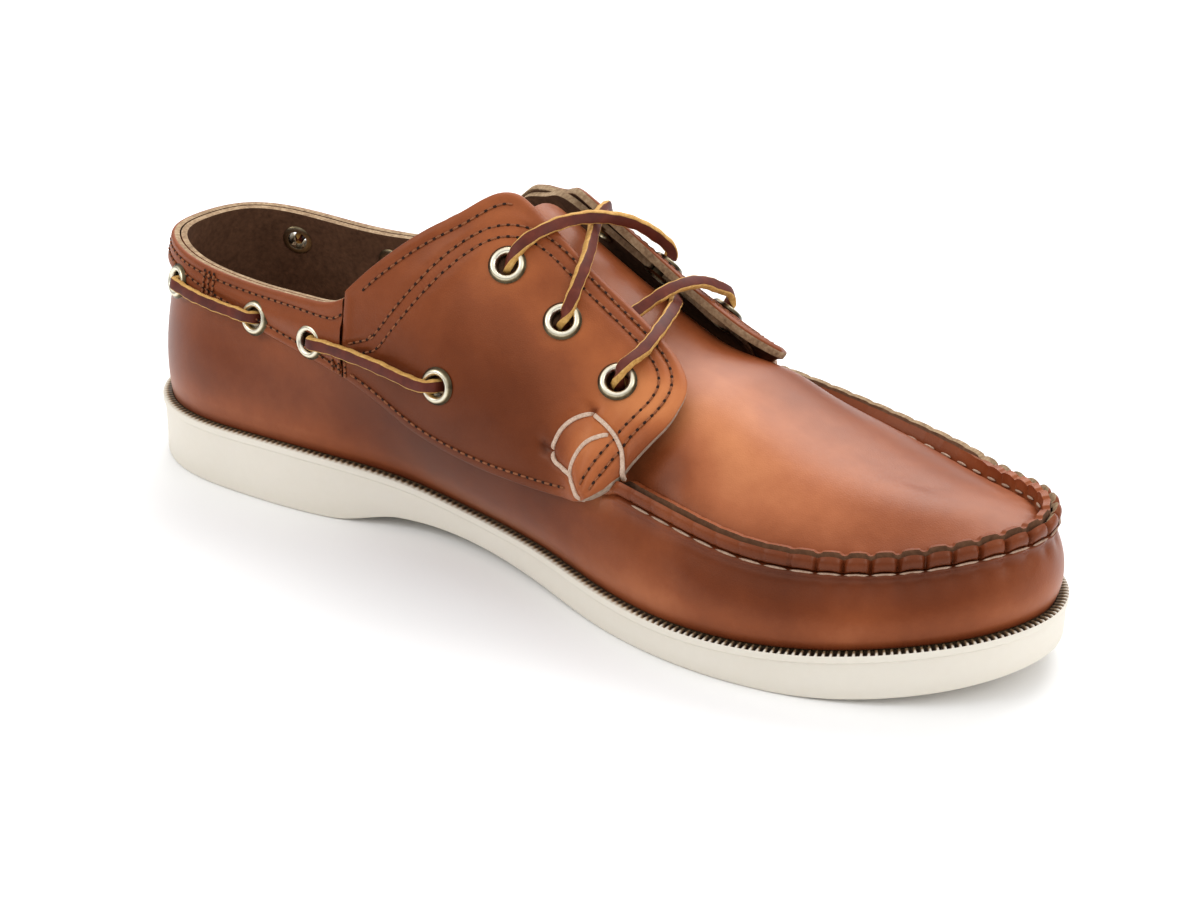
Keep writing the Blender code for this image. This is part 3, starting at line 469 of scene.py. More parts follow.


# Tones of the leather, some of them painted light and shade: side, share of the length, place up the
# surface, radius in millimetres, and amount, where light patches are above 0 and dark ones below
TONES_AND_PAINTED_LIGHT = [
    # Painted shade on the middle of the medial saddle
    (MEDIAL, 0.520, 1.12, 15, -0.12),
    (MEDIAL, 0.480, 1.00, 24, -0.18),
    (MEDIAL, 0.400, 0.85, 22, -0.16),
    (MEDIAL, 0.550, 0.88, 14, -0.14),
    (MEDIAL, 0.598, 1.43, 10, 0.34),
    (MEDIAL, 0.539, 1.51, 9, 0.30),
    (MEDIAL, 0.477, 1.54, 9, 0.34),
    (MEDIAL, 0.440, 1.70, 12, 0.10),
    (MEDIAL, 0.596, 1.12, 9, 0.50),
    (MEDIAL, 0.612, 0.92, 7, 0.35),
    # Painted shade in the two pits of the medial tab
    (MEDIAL, 0.587, 1.262, 1.4, -0.60),
    (MEDIAL, 0.556, 1.030, 1.4, -0.60),
    (MEDIAL, 0.635, 1.45, 9, 0.40),
    (MEDIAL, 0.437, 1.02, 8, 0.20),
    # Painted shade on the middle of the lateral saddle
    (LATERAL, 0.520, 1.12, 15, -0.20),
    (LATERAL, 0.480, 1.00, 22, -0.20),
    (LATERAL, 0.596, 1.12, 9, 0.28),
    # Painted shade in the two pits of the lateral tab
    (LATERAL, 0.587, 1.262, 1.4, -0.60),
    (LATERAL, 0.556, 1.030, 1.4, -0.60),
    (LATERAL, 0.440, 0.90, 14, -0.12),
    # Painted highlights on the plug's medial side, painted shade in the valley along its lateral seam
    (MEDIAL, 0.690, 1.75, 20, 0.28),
    (MEDIAL, 0.700, 1.50, 12, 0.16),
    (MEDIAL, 0.760, 1.35, 20, 0.16),
    (MEDIAL, 0.830, 1.60, 16, 0.12),
    (LATERAL, 0.740, 1.50, 16, -0.18),
    (LATERAL, 0.800, 1.75, 16, 0.06),
    (LATERAL, 0.860, 1.50, 18, -0.14),
    # Painted shadow of the saddle's front edge on the plug
    (MEDIAL, 0.664, 1.08, 8, -0.16),
    (MEDIAL, 0.668, 1.25, 9, -0.30),
    (MEDIAL, 0.380, 0.40, 26, -0.22),
    (MEDIAL, 0.550, 0.40, 22, -0.14),
    (MEDIAL, 0.740, 0.60, 15, -0.20),
    (MEDIAL, 0.700, 0.25, 14, 0.10),
    (MEDIAL, 0.820, 0.65, 15, -0.28),
    (MEDIAL, 0.880, 0.30, 14, 0.04),
    (MEDIAL, 0.930, 0.60, 15, -0.28),
    (LATERAL, 0.930, 0.50, 16, 0.12),
    (LATERAL, 0.800, 0.50, 18, -0.10),
    (LATERAL, 0.620, 0.45, 22, 0.08),
    (LATERAL, 0.400, 0.35, 24, -0.14),
    (LATERAL, 0.140, 0.45, 22, 0.06),
    (MEDIAL, 0.140, 0.45, 22, -0.12),
]


def toned(points):
    """Tone of the leather at each point, painted light and shade included: 0.5 is the middle one."""
    tone_and_light = np.full(len(points), 0.5)
    for side, share, v, radius, amount in TONES_AND_PAINTED_LIGHT:
        c = surface(np.array(station(side, share)), np.array(v))
        tone_and_light += amount * np.exp(-(np.linalg.norm(points - c, axis=1) / (radius * MM)) ** 2)
    return np.clip(tone_and_light, 0.0, 1.0)


# Mesh tools
def only(piece):
    """Make a piece the one that operators act on."""
    bpy.ops.object.select_all(action="DESELECT")
    piece.select_set(True)
    bpy.context.view_layer.objects.active = piece


def vectors_of(items, label):
    """One row of three numbers for each point or face of a mesh."""
    flat = np.empty(len(items) * 3)
    items.foreach_get(label, flat)
    return flat.reshape(-1, 3)


def grid(name, columns, rows, shape):
    """Grid primitive whose points are moved by shape(column, row), with whole numbers in arrays."""
    bpy.ops.object.select_all(action="DESELECT")
    bpy.ops.mesh.primitive_grid_add(x_subdivisions=columns, y_subdivisions=rows, size=2)
    piece = bpy.context.active_object
    piece.name = name
    mesh = piece.data
    mesh.name = name
    uw = (vectors_of(mesh.vertices, "co")[:, :2] + 1) / 2
    i = np.rint(uw[:, 0] * columns).astype(int)
    j = np.rint(uw[:, 1] * rows).astype(int)
    points = place(shape(i, j))
    mesh.vertices.foreach_set("co", points.astype(np.float32).ravel())
    mesh.update()
    return piece


def points_of(piece):
    """The piece's points in design coordinates."""
    return vectors_of(piece.data.vertices, "co") + SHIFT


def edit_all(piece, operator, **values):
    """Run an edit mode operator on the whole of a piece."""
    only(piece)
    bpy.ops.object.mode_set(mode="EDIT")
    bpy.ops.mesh.select_all(action="SELECT")
    operator(**values)
    bpy.ops.object.mode_set(mode="OBJECT")


def weld(piece):
    """Close the seam of a loop and the poles of a patch."""
    edit_all(piece, bpy.ops.mesh.remove_doubles, threshold=2e-6)


def remember(piece, name, values):
    """Keep one number for each point, for the material to read."""
    attribute = piece.data.attributes.new(name, "FLOAT", "POINT")
    attribute.data.foreach_set("value", np.asarray(values, np.float32))


def open_holes(piece, centres, radius):
    """Take out the faces that lie inside the round holes."""
    middle = vectors_of(piece.data.polygons, "center") + SHIFT
    inside = np.zeros(len(middle), bool)
    for centre in centres:
        inside |= np.linalg.norm(middle - centre, axis=1) < radius
    only(piece)
    bpy.ops.object.mode_set(mode="EDIT")
    bpy.ops.mesh.select_all(action="DESELECT")
    bpy.ops.object.mode_set(mode="OBJECT")
    piece.data.polygons.foreach_set("select", inside)
    bpy.ops.object.mode_set(mode="EDIT")
    bpy.ops.mesh.delete(type="FACE")
    bpy.ops.object.mode_set(mode="OBJECT")


def thicken(piece, thickness, materials):
    """Give a sheet its thickness below the face; materials are face, cut edge and underside."""
    for material in materials:
        piece.data.materials.append(material)
    only(piece)
    modifier = piece.modifiers.new("Thickness", "SOLIDIFY")
    modifier.thickness = thickness
    modifier.offset = -1
    modifier.material_offset_rim = 1
    modifier.material_offset = len(materials) - 1
    bpy.ops.object.modifier_apply(modifier=modifier.name)


def by_row(piece, columns, row_material, materials):
    """Give the faces of a grid their materials, one number for each row of faces."""
    for material in materials:
        piece.data.materials.append(material)
    faces = np.repeat(np.array(row_material, np.int32), columns)
    piece.data.polygons.foreach_set("material_index", faces)


def column(table, k):
    """One column of a table, as an array."""
    return np.array([row[k] for row in table])


PART = 4000


def in_parts(work, *tables):
    """Work done on long tables a few thousand rows at a time, so that it takes little memory."""
    starts = range(0, len(tables[0]), PART)
    return np.concatenate([work(*(table[k:k + PART] for table in tables)) for k in starts])


def finish_piece(piece, nodes=(), angle=50):
    """Shade, ride, and hide the imported parts that the piece stands for."""
    only(piece)
    bpy.ops.object.shade_smooth_by_angle(angle=radians(angle))
    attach(piece, "root")
    if nodes:
        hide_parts(*nodes)
    return piece


# Materials
def node(tree, kind, **values):
    """Add a node; values set properties, or inputs by name when they start with in_."""
    made = tree.nodes.new(kind)
    for key, value in values.items():
        if key.startswith("in_"):
            made.inputs[key[3:].replace("_", " ")].default_value = value
        else:
            setattr(made, key, value)
    return made


def ramp(tree, source, stops):
    """Colour ramp through (place, colour) stops, fed by a number."""
    made = tree.nodes.new("ShaderNodeValToRGB")
    elements = made.color_ramp.elements
    while len(elements) < len(stops):
        elements.new(0.5)
    for element, (position, color) in zip(elements, stops):
        element.position = position
        element.color = (*color, 1.0)
    tree.links.new(source, made.inputs["Fac"])
    return made.outputs["Color"]


def maths(tree, operation, a, b, clamp=False):
    """Math node on two sockets or numbers."""
    made = tree.nodes.new("ShaderNodeMath")
    made.operation = operation
    made.use_clamp = clamp
    for k, value in enumerate((a, b)):
        if isinstance(value, (int, float)):
            made.inputs[k].default_value = value
        else:
            tree.links.new(value, made.inputs[k])
    return made.outputs[0]


def new_group(name, inputs, outputs):
    """Shader node group with number inputs (name, value) and outputs."""
    tree = bpy.data.node_groups.new(name, "ShaderNodeTree")
    for label, value in inputs:
        socket = tree.interface.new_socket(label, in_out="INPUT", socket_type="NodeSocketFloat")
        socket.default_value = value
    for label in outputs:
        tree.interface.new_socket(label, in_out="OUTPUT", socket_type="NodeSocketFloat")
    return tree, tree.nodes.new("NodeGroupInput"), tree.nodes.new("NodeGroupOutput")


def make_mottle_group():
    """Cloudy change of tone: broad clouds with smaller ones in them."""
    tree, start, end = new_group("Cloudy tone", [("Broad", 20.0), ("Small", 110.0), ("Share", 0.35)],
                                 ["Cloud"])
    place_node = tree.nodes.new("ShaderNodeTexCoord")
    broad = node(tree, "ShaderNodeTexNoise", in_Detail=3.0, in_Roughness=0.55)
    small = node(tree, "ShaderNodeTexNoise", in_Detail=4.0, in_Roughness=0.6)
    for noise, label in ((broad, "Broad"), (small, "Small")):
        tree.links.new(place_node.outputs["Object"], noise.inputs["Vector"])
        tree.links.new(start.outputs[label], noise.inputs["Scale"])
    mix = node(tree, "ShaderNodeMix")
    tree.links.new(start.outputs["Share"], mix.inputs["Factor"])
    tree.links.new(broad.outputs[0], mix.inputs[2])
    tree.links.new(small.outputs[0], mix.inputs[3])
    tree.links.new(mix.outputs[0], end.inputs["Cloud"])
    return tree


def make_grain_group():
    """Leather grain: fine pebbles, hair cells and light scratches, as a height."""
    tree, start, end = new_group("Leather grain", [("Pebble", 1500.0), ("Scratches", 0.25)], ["Height"])
    place_node = tree.nodes.new("ShaderNodeTexCoord")
    cells = node(tree, "ShaderNodeTexVoronoi", feature="DISTANCE_TO_EDGE")
    tree.links.new(place_node.outputs["Object"], cells.inputs["Vector"])
    tree.links.new(start.outputs["Pebble"], cells.inputs["Scale"])
    edge = maths(tree, "MULTIPLY", cells.outputs["Distance"], 2.2, clamp=True)
    fine = node(tree, "ShaderNodeTexNoise", in_Scale=900.0, in_Detail=3.0)
    tree.links.new(place_node.outputs["Object"], fine.inputs["Vector"])
    turn = node(tree, "ShaderNodeMapping")
    turn.inputs["Rotation"].default_value = (0.3, 0.5, 0.8)
    turn.inputs["Scale"].default_value = (60.0, 900.0, 500.0)
    tree.links.new(place_node.outputs["Object"], turn.inputs["Vector"])
    streaks = node(tree, "ShaderNodeTexNoise", in_Scale=1.0, in_Detail=2.0)
    tree.links.new(turn.outputs["Vector"], streaks.inputs["Vector"])
    scratch = maths(tree, "MULTIPLY", streaks.outputs[0], start.outputs["Scratches"])
    total = maths(tree, "ADD", maths(tree, "ADD", edge, fine.outputs[0]), scratch)
    tree.links.new(total, end.inputs["Height"])
    return tree


cloudy_tone = make_mottle_group()
leather_grain = make_grain_group()


def material_start(name, roughness, metallic=0.0):
    """New material with its tree and shader."""
    material = bpy.data.materials.new(name)
    material.use_nodes = True
    tree = material.node_tree
    shader = tree.nodes["Principled BSDF"]
    shader.inputs["Roughness"].default_value = roughness
    shader.inputs["Metallic"].default_value = metallic
    return material, tree, shader


def group_node(tree, group, **values):
    """Add a group; values set its inputs by name."""
    made = tree.nodes.new("ShaderNodeGroup")
    made.node_tree = group
    for key, value in values.items():
        made.inputs[key].default_value = value
    return made


def bump(tree, shader, height, strength, distance):
    """Raise the shader's surface by a height."""
    made = node(tree, "ShaderNodeBump", in_Strength=strength, in_Distance=distance)
    tree.links.new(height, made.inputs["Height"])
    tree.links.new(made.outputs["Normal"], shader.inputs["Normal"])


def clouded(tree, cloud, attribute, contrast):
    """Value given in an attribute, with the clouds spread over it."""
    placed = node(tree, "ShaderNodeAttribute", attribute_name=attribute)
    spread = maths(tree, "MULTIPLY", maths(tree, "SUBTRACT", cloud.outputs["Cloud"], 0.5), contrast)
    return maths(tree, "ADD", placed.outputs["Fac"], spread, clamp=True)


def make_leather(name, stops, rough, contrast, grain, coat=0.0):
    """Oiled pull-up leather: given tone with painted light and shade, cloud tone, grain, cloudy gloss."""
    material, tree, shader = material_start(name, 0.4)
    cloud = group_node(tree, cloudy_tone, Broad=24.0, Small=130.0, Share=0.38)
    tree.links.new(ramp(tree, clouded(tree, cloud, "tone_and_light", contrast), stops), shader.inputs["Base Color"])
    gloss = node(tree, "ShaderNodeMapRange", in_To_Min=rough[0], in_To_Max=rough[1])
    tree.links.new(cloud.outputs["Cloud"], gloss.inputs["Value"])
    tree.links.new(gloss.outputs["Result"], shader.inputs["Roughness"])
    pebbles = group_node(tree, leather_grain, Pebble=1500.0, Scratches=0.3)
    bump(tree, shader, pebbles.outputs["Height"], grain, 0.00012)
    shader.inputs["Coat Weight"].default_value = coat
    shader.inputs["Specular IOR Level"].default_value = 0.30
    shader.inputs["Specular Tint"].default_value = (1.0, 0.68, 0.50, 1.0)
    shader.inputs["Coat Roughness"].default_value = 0.28
    return material


def make_fuzzy(name, stops, size, strength, rough=0.85):
    """Raw cut edge, flesh side or thread: matt, with fibres."""
    material, tree, shader = material_start(name, rough)
    cloud = group_node(tree, cloudy_tone, Broad=size * 0.25, Small=size, Share=0.6)
    tree.links.new(ramp(tree, cloud.outputs["Cloud"], stops), shader.inputs["Base Color"])
    bump(tree, shader, cloud.outputs["Cloud"], strength, 0.0003)
    shader.inputs["Specular IOR Level"].default_value = 0.25
    return material


LEATHER_STOPS = [
    (0.00, (0.085, 0.015, 0.003)),
    (0.28, (0.140, 0.029, 0.007)),
    (0.52, (0.220, 0.052, 0.015)),
    (0.76, (0.370, 0.102, 0.030)),
    (1.00, (0.540, 0.185, 0.062)),
]
VAMP_STOPS = [
    (0.00, (0.080, 0.015, 0.004)),
    (0.28, (0.145, 0.030, 0.008)),
    (0.52, (0.235, 0.057, 0.017)),
    (0.76, (0.370, 0.112, 0.042)),
    (1.00, (0.530, 0.195, 0.080)),
]
PATCH_STOPS = [(0.0, (0.030, 0.010, 0.006)), (1.0, (0.130, 0.042, 0.020))]
SOCK_STOPS = [(0.0, (0.200, 0.100, 0.050)), (1.0, (0.420, 0.240, 0.130))]
RAW_STOPS = [(0.25, (0.120, 0.070, 0.038)), (0.50, (0.320, 0.210, 0.120)), (0.75, (0.540, 0.400, 0.250))]
PALE_STOPS = [(0.25, (0.220, 0.140, 0.090)), (0.55, (0.420, 0.320, 0.240)), (0.80, (0.600, 0.500, 0.400))]
FLESH_STOPS = [(0.3, (0.080, 0.036, 0.018)), (0.7, (0.170, 0.082, 0.043))]
TAN_STOPS = [(0.3, (0.170, 0.050, 0.018)), (0.7, (0.330, 0.115, 0.042))]
CREAM_STOPS = [(0.3, (0.420, 0.270, 0.190)), (0.7, (0.700, 0.540, 0.420))]
SEAM_STOPS = [(0.3, (0.250, 0.150, 0.100)), (0.7, (0.520, 0.370, 0.270))]
HOLE_SHADE_STOPS = [(0.3, (0.012, 0.005, 0.003)), (0.7, (0.035, 0.012, 0.006))]
LACE_STOPS = [(0.25, (0.050, 0.008, 0.005)), (0.60, (0.120, 0.020, 0.009)), (0.85, (0.230, 0.050, 0.022))]
RAWHIDE_STOPS = [(0.2, (0.300, 0.140, 0.030)), (0.5, (0.560, 0.310, 0.085)), (0.8, (0.760, 0.490, 0.170))]
leather_vamp = make_leather("Vamp leather", VAMP_STOPS, (0.34, 0.46), 0.64, 0.20, 0.08)
leather_saddle = make_leather("Saddle leather", LEATHER_STOPS, (0.36, 0.50), 0.62, 0.22, 0.04)
leather_patch = make_leather("Heel patch leather", PATCH_STOPS, (0.40, 0.55), 0.8, 0.3)
sock = make_leather("Sock leather", SOCK_STOPS, (0.55, 0.7), 0.6, 0.3)
raw_edge = make_fuzzy("Raw leather edge", RAW_STOPS, 900.0, 0.9)
pale_edge = make_fuzzy("Pale leather edge", PALE_STOPS, 900.0, 0.7)
flesh = make_fuzzy("Leather flesh side", FLESH_STOPS, 700.0, 0.5)
thread_tan = make_fuzzy("Tan thread", TAN_STOPS, 2500.0, 0.5, 0.6)
thread_cream = make_fuzzy("Cream thread", CREAM_STOPS, 2500.0, 0.5, 0.6)
thread_seam = make_fuzzy("Seam thread", SEAM_STOPS, 2500.0, 0.5, 0.6)
# Painted shade: dark beads stand for the shade inside the needle holes
needle_hole_shade = make_fuzzy("Needle hole", HOLE_SHADE_STOPS, 900.0, 0.2, 0.9)
lace_face = make_fuzzy("Rawhide face", LACE_STOPS, 260.0, 0.35, 0.52)
lace_edge = make_fuzzy("Rawhide raw side", RAWHIDE_STOPS, 1100.0, 0.7, 0.75)

# Off-white to dirty rubber; the near-black end is painted shade on the ledge and in its notches
RUBBER_DIRT_AND_SHADE_STOPS = [
    (0.00, (0.780, 0.730, 0.640)),
    (0.35, (0.660, 0.600, 0.490)),
    (0.70, (0.300, 0.200, 0.105)),
    (1.00, (0.022, 0.010, 0.006)),
]
# From the dark of painted shade to the bright of worn brass
BRASS_WEAR_AND_SHADE_STOPS = [
    (0.00, (0.050, 0.036, 0.020)),
    (0.35, (0.180, 0.140, 0.080)),
    (0.65, (0.620, 0.550, 0.390)),
    (1.00, (0.820, 0.770, 0.630)),
]


def make_rubber():
    """Off-white rubber, with dirt and painted shade where the attribute says so."""
    material, tree, shader = material_start("Sole rubber", 0.55)
    cloud = group_node(tree, cloudy_tone, Broad=30.0, Small=400.0, Share=0.4)
    dirt_and_shade = clouded(tree, cloud, "dirt_and_shade", 0.22)
    tree.links.new(ramp(tree, dirt_and_shade, RUBBER_DIRT_AND_SHADE_STOPS), shader.inputs["Base Color"])
    bump(tree, shader, cloud.outputs["Cloud"], 0.15, 0.0002)
    shader.inputs["Subsurface Weight"].default_value = 0.05
    shader.inputs["Subsurface Radius"].default_value = (0.004, 0.003, 0.002)
    return material


def make_brass():
    """Antique brass: bright on the inner ring, dark olive on the outer rim and barrel, as painted shade."""
    material, tree, shader = material_start("Antique brass", 0.32, 1.0)
    cloud = group_node(tree, cloudy_tone, Broad=300.0, Small=1600.0, Share=0.5)
    wear_and_shade = clouded(tree, cloud, "wear_and_shade", 0.5)
    tree.links.new(ramp(tree, wear_and_shade, BRASS_WEAR_AND_SHADE_STOPS), shader.inputs["Base Color"])
    bump(tree, shader, cloud.outputs["Cloud"], 0.12, 0.0001)
    return material


rubber = make_rubber()
brass = make_brass()

# Eyelets, from the toe backwards: share of the length and place up the surface
FRONT_EYELETS = [(0.598, 1.428), (0.539, 1.511), (0.477, 1.545)]
SIDE_EYELETS = [(0.437, 1.025), (0.276, 0.781), (0.198, 0.790), (0.072, 0.800)]
eyelet_places = []
for side, word in SIDES:
    for row_word, places in (("front", FRONT_EYELETS), ("side", SIDE_EYELETS)):
        for number, (share, v) in enumerate(places, 1):
            eyelet_places.append(("eyelet_" + row_word + "_" + word + "_" + str(number), side, share, v))


def eyelet_axis(side, share, v):
    """Middle of an eyelet on the overlay's outer face, and two directions square to its axis."""
    t = np.array(station(side, share))
    v = np.array(v)
    n = surface_normal(t, v)
    along = surface(t + 1e-3, v) - surface(t, v)
    along = along - n * np.dot(along, n)
    along = along / np.linalg.norm(along)
    return surface(t, v) + n * OVERLAY_HIGH, n, along, np.cross(n, along)


HOLE_ROOM = 0.0040
hole_centres = []
for name, side, share, v in eyelet_places:
    middle, axis = eyelet_axis(side, share, v)[:2]
    hole_centres.append(middle - axis * OVERLAY / 2)

# Upper: the wall of vamp and quarters with the turned-up lip of the moccasin seam
LIP_OUT = GAP / 2 + WALL
WALL_ROWS = np.concatenate([np.linspace(0, 0.84, 14), [0.87, 0.90, 0.925, 0.948, 0.966, 0.980, 0.991, 1.0]])
LIP_ROWS = np.array([0.05, 0.14, 0.26, 0.40, 0.55, 0.70, 0.84, 0.94, 1.0])
UPPER_ROWS = len(WALL_ROWS) + len(LIP_ROWS) - 1
VAMP_COLUMNS = 900
QUARTER_COLUMNS = 150
VAMP_FROM = 0.60

# What the seam's stitches do to wall and lip, in metres, and the share of its lean that the lip
# loses in height
LIP_PINCH = 0.0013
LIP_BULGE = 0.0005
LIP_ROLL = 0.0004
LIP_DIP = 0.0006
LIP_LEAN_DROP = 0.3
FOOT_PINCH = 0.0009
SLOT_WIDTH = 0.00055
GATHER_HEIGHT = 0.00034
GATHER_PULL = 0.0007
GATHER_PULL_WIDTH = 0.0012
WELT_HEIGHT = 0.0006

# No two gathers are alike: share, radians per metre of seam and start of each wave in their height
GATHER_WAVES = ((0.25, 310, 0), (0.15, 170, 1))

# Painted light and shade on the upper: height above the sole, half width and amount of each band of
# painted reflection, then the painted shade of the foot and of the line under the seam, with how far each
# reaches
PAINTED_LIGHT_BANDS = ((0.006, 0.004, 0.12), (0.020, 0.009, -0.14))
FOOT_SHADE = 0.30
FOOT_SHADE_REACH = 0.003
SEAM_SHADE = 0.16
SEAM_SHADE_REACH = 0.0035
SEAM_SHADE_FROM = 0.19


def even_t(start, end, count):
    """Loop parameters at even distances along the sole's outline."""
    t = np.linspace(start, end, 2000)
    s = run_along(outline_at(t))
    return np.interp(np.linspace(0, s[-1], count + 1), s, t)


vamp_start = float(station(MEDIAL, VAMP_FROM))
vamp_end = float(station(LATERAL, VAMP_FROM))
upper_t = np.concatenate([
    even_t(0, vamp_start, QUARTER_COLUMNS),
    even_t(vamp_start, vamp_end, VAMP_COLUMNS)[1:],
    even_t(vamp_end, T_END, QUARTER_COLUMNS)[1:],
])
wall_v = np.concatenate([WALL_ROWS, np.ones(len(LIP_ROWS))])
lip_b = np.concatenate([np.zeros(len(WALL_ROWS)), LIP_ROWS])
QUARTER_ROWS = np.concatenate([WALL_ROWS * 0.90, 0.90 + 0.10 * LIP_ROWS])


QUARTER_DROP = 0.10


def quarter_drop(t, share):
    """How far the lateral quarter's top edge keeps below the medial one's under the saddle."""
    under_saddle = smoothstep((share - 0.37) / 0.05) * smoothstep((0.61 - share) / 0.04)
    return (t > T_TOE) * QUARTER_DROP * under_saddle


def upper_top(t, share):
    """Top edge of the quarters, running on under the saddle to the start of the lip."""
    quarter = topline_at(np.clip(share, 0, QUARTER_END)) - quarter_drop(t, share)
    under_saddle = 1 + 0.6 * (1 - smoothstep((share - QUARTER_END) / (LIP_START - QUARTER_END)))
    return np.where(share < QUARTER_END, quarter, under_saddle)


def upper_shape(i, j):
    """Quarters at the back turn into the vamp's wall and its lip where the seam starts."""
    t = upper_t[i]
    share = share_of(t)
    n = outward(t)
    quarter_v = QUARTER_ROWS[j] * upper_top(t, share)
    turn = smoothstep((share - QUARTER_END) / (LIP_FULL - QUARTER_END))
    quarter = offset_surface(t, quarter_v, creased(surface(t, quarter_v)))
    v = wall_v[j]
    b = lip_b[j]
    d = slot_distance(t)
    g = gather(t)
    slot = np.exp(-(d / SLOT_WIDTH) ** 2)
    body = surface(t, v)
    normal = surface_normal(t, v)
    near_lip = smoothstep((v - 0.80) / 0.20)
    below = smoothstep((v - 0.55) / 0.45)
    uneven = 1 + sum(part * np.sin(seam_arc(t) * waves + start) for part, waves, start in GATHER_WAVES)
    ripple = np.cos(2 * pi * d / STITCH_PITCH) * uneven
    height = creased(body) * (1 - near_lip) - GATHER_HEIGHT * g * ripple * below * (1 - 0.5 * near_lip)
    drawn_in = np.exp(-(d / GATHER_PULL_WIDTH) ** 2) * smoothstep((v - 0.72) / 0.28) ** 1.5
    height = height - GATHER_PULL * g * drawn_in
    height = height + WELT_HEIGHT * np.exp(-((v - 0.955) / 0.035) ** 2) * (b == 0)
    body = body + normal * height[:, None] + n * (LIP_OUT * near_lip)[:, None]
    foot = FOOT_PINCH * np.exp(-((1 - v) / 0.012) ** 2) * np.exp(-(b / 0.10) ** 2)
    puff = LIP_BULGE * np.sin(pi * np.clip(b, 0, 1)) * (1 + 0.5 * g)
    pull = LIP_PINCH * g * slot * smoothstep(b / 0.25) * (1 - 0.35 * smoothstep((b - 0.7) / 0.3))
    roll = LIP_ROLL * smoothstep((b - 0.85) / 0.15)
    raised = RIDGE_HEIGHT * b - LIP_DIP * g * slot * smoothstep((b - 0.5) / 0.5)
    lean = lip_lean(t) * b ** 1.5
    lipped = body + n * (puff - pull - foot - roll + lean)[:, None]
    lipped = lipped + UP * (raised - lean * LIP_LEAN_DROP)[:, None]
    return quarter + (lipped - quarter) * turn[:, None]


def upper_tone(points):
    """Painted shade at the foot and under the seam, and a light and a dark band of painted reflection."""
    rise = points[:, 2] - sole_top(points[:, 0] / LENGTH)
    seam_shade_mask = np.exp(-(seam_distance(points) / SEAM_SHADE_REACH) ** 2) * (points[:, 0] > SEAM_SHADE_FROM)
    tone_and_light = toned(points) - FOOT_SHADE * (1 - np.clip(rise / FOOT_SHADE_REACH, 0, 1)) - SEAM_SHADE * seam_shade_mask
    for height, half, amount in PAINTED_LIGHT_BANDS:
        tone_and_light = tone_and_light + amount * np.exp(-((rise - height) / half) ** 2)
    return np.clip(tone_and_light, 0, 1)


upper = grid("upper_shell", len(upper_t) - 1, UPPER_ROWS, upper_shape)
remember(upper, "tone_and_light", upper_tone(points_of(upper)))
weld(upper)
open_holes(upper, hole_centres, HOLE_ROOM)
thicken(upper, WALL, [leather_vamp, raw_edge, flesh])
finish_piece(upper, ["upper"])

# Plug and tongue: where the tongue ends, how far up the surface its border runs, and its rows
TONGUE_END = 0.462
TONGUE_EDGE = 1.22
TONGUE_JOIN = 1.03
TONGUE_JOINED = 0.630
PLUG_RISES_FROM = 0.610
PLUG_RISES_OVER = 0.085
PLUG_DIP = 0.0010
PLUG_RIPPLE = 0.00018
PLUG_PINCH = 0.0004
PLUG_SLOT_WIDTH = 0.0008
PLUG_LIP_EASE = 0.0002
PLUG_TONE = 0.06
PLUG_SEAM_SHADE = 0.12
PLUG_SEAM_REACH = 0.004
CROWN_ROWS = 20
PLUG_LIP = np.array([1.0, 0.90, 0.74, 0.55, 0.36, 0.18, 0.06])
plug_medial_t = even_t(float(station(MEDIAL, TONGUE_END)), T_TOE, 520)
plug_share = np.minimum.accumulate(share_of(plug_medial_t)[::-1])[::-1]
plug_lateral_t = station(LATERAL, plug_share)
plug_lateral_t[-1] = T_TOE
crown = np.linspace(0, 1, CROWN_ROWS + 1) ** 1.15
HALF_ROWS = len(PLUG_LIP) + CROWN_ROWS
plug_lip_b = np.concatenate([PLUG_LIP, np.zeros(CROWN_ROWS + 1)])
plug_crown = np.concatenate([np.zeros(len(PLUG_LIP)), crown])


def plug_sink(share):
    """How far the tongue lies below the surface, under the laces."""
    return TONGUE_SINK * (1 - smoothstep((share - PLUG_RISES_FROM) / PLUG_RISES_OVER))


def plug_normal(t, v, c):
    """Direction square to the plug, without its sideways part along the middle line."""
    normal = surface_normal(t, np.clip(v, 1.08, SPINE_NEAR))
    middle = normal * np.array([1.0, 0.0, 1.0])
    middle = middle / np.linalg.norm(middle, axis=1, keepdims=True)
    return normal + (middle - normal) * smoothstep((c - 0.9) / 0.1)[:, None]


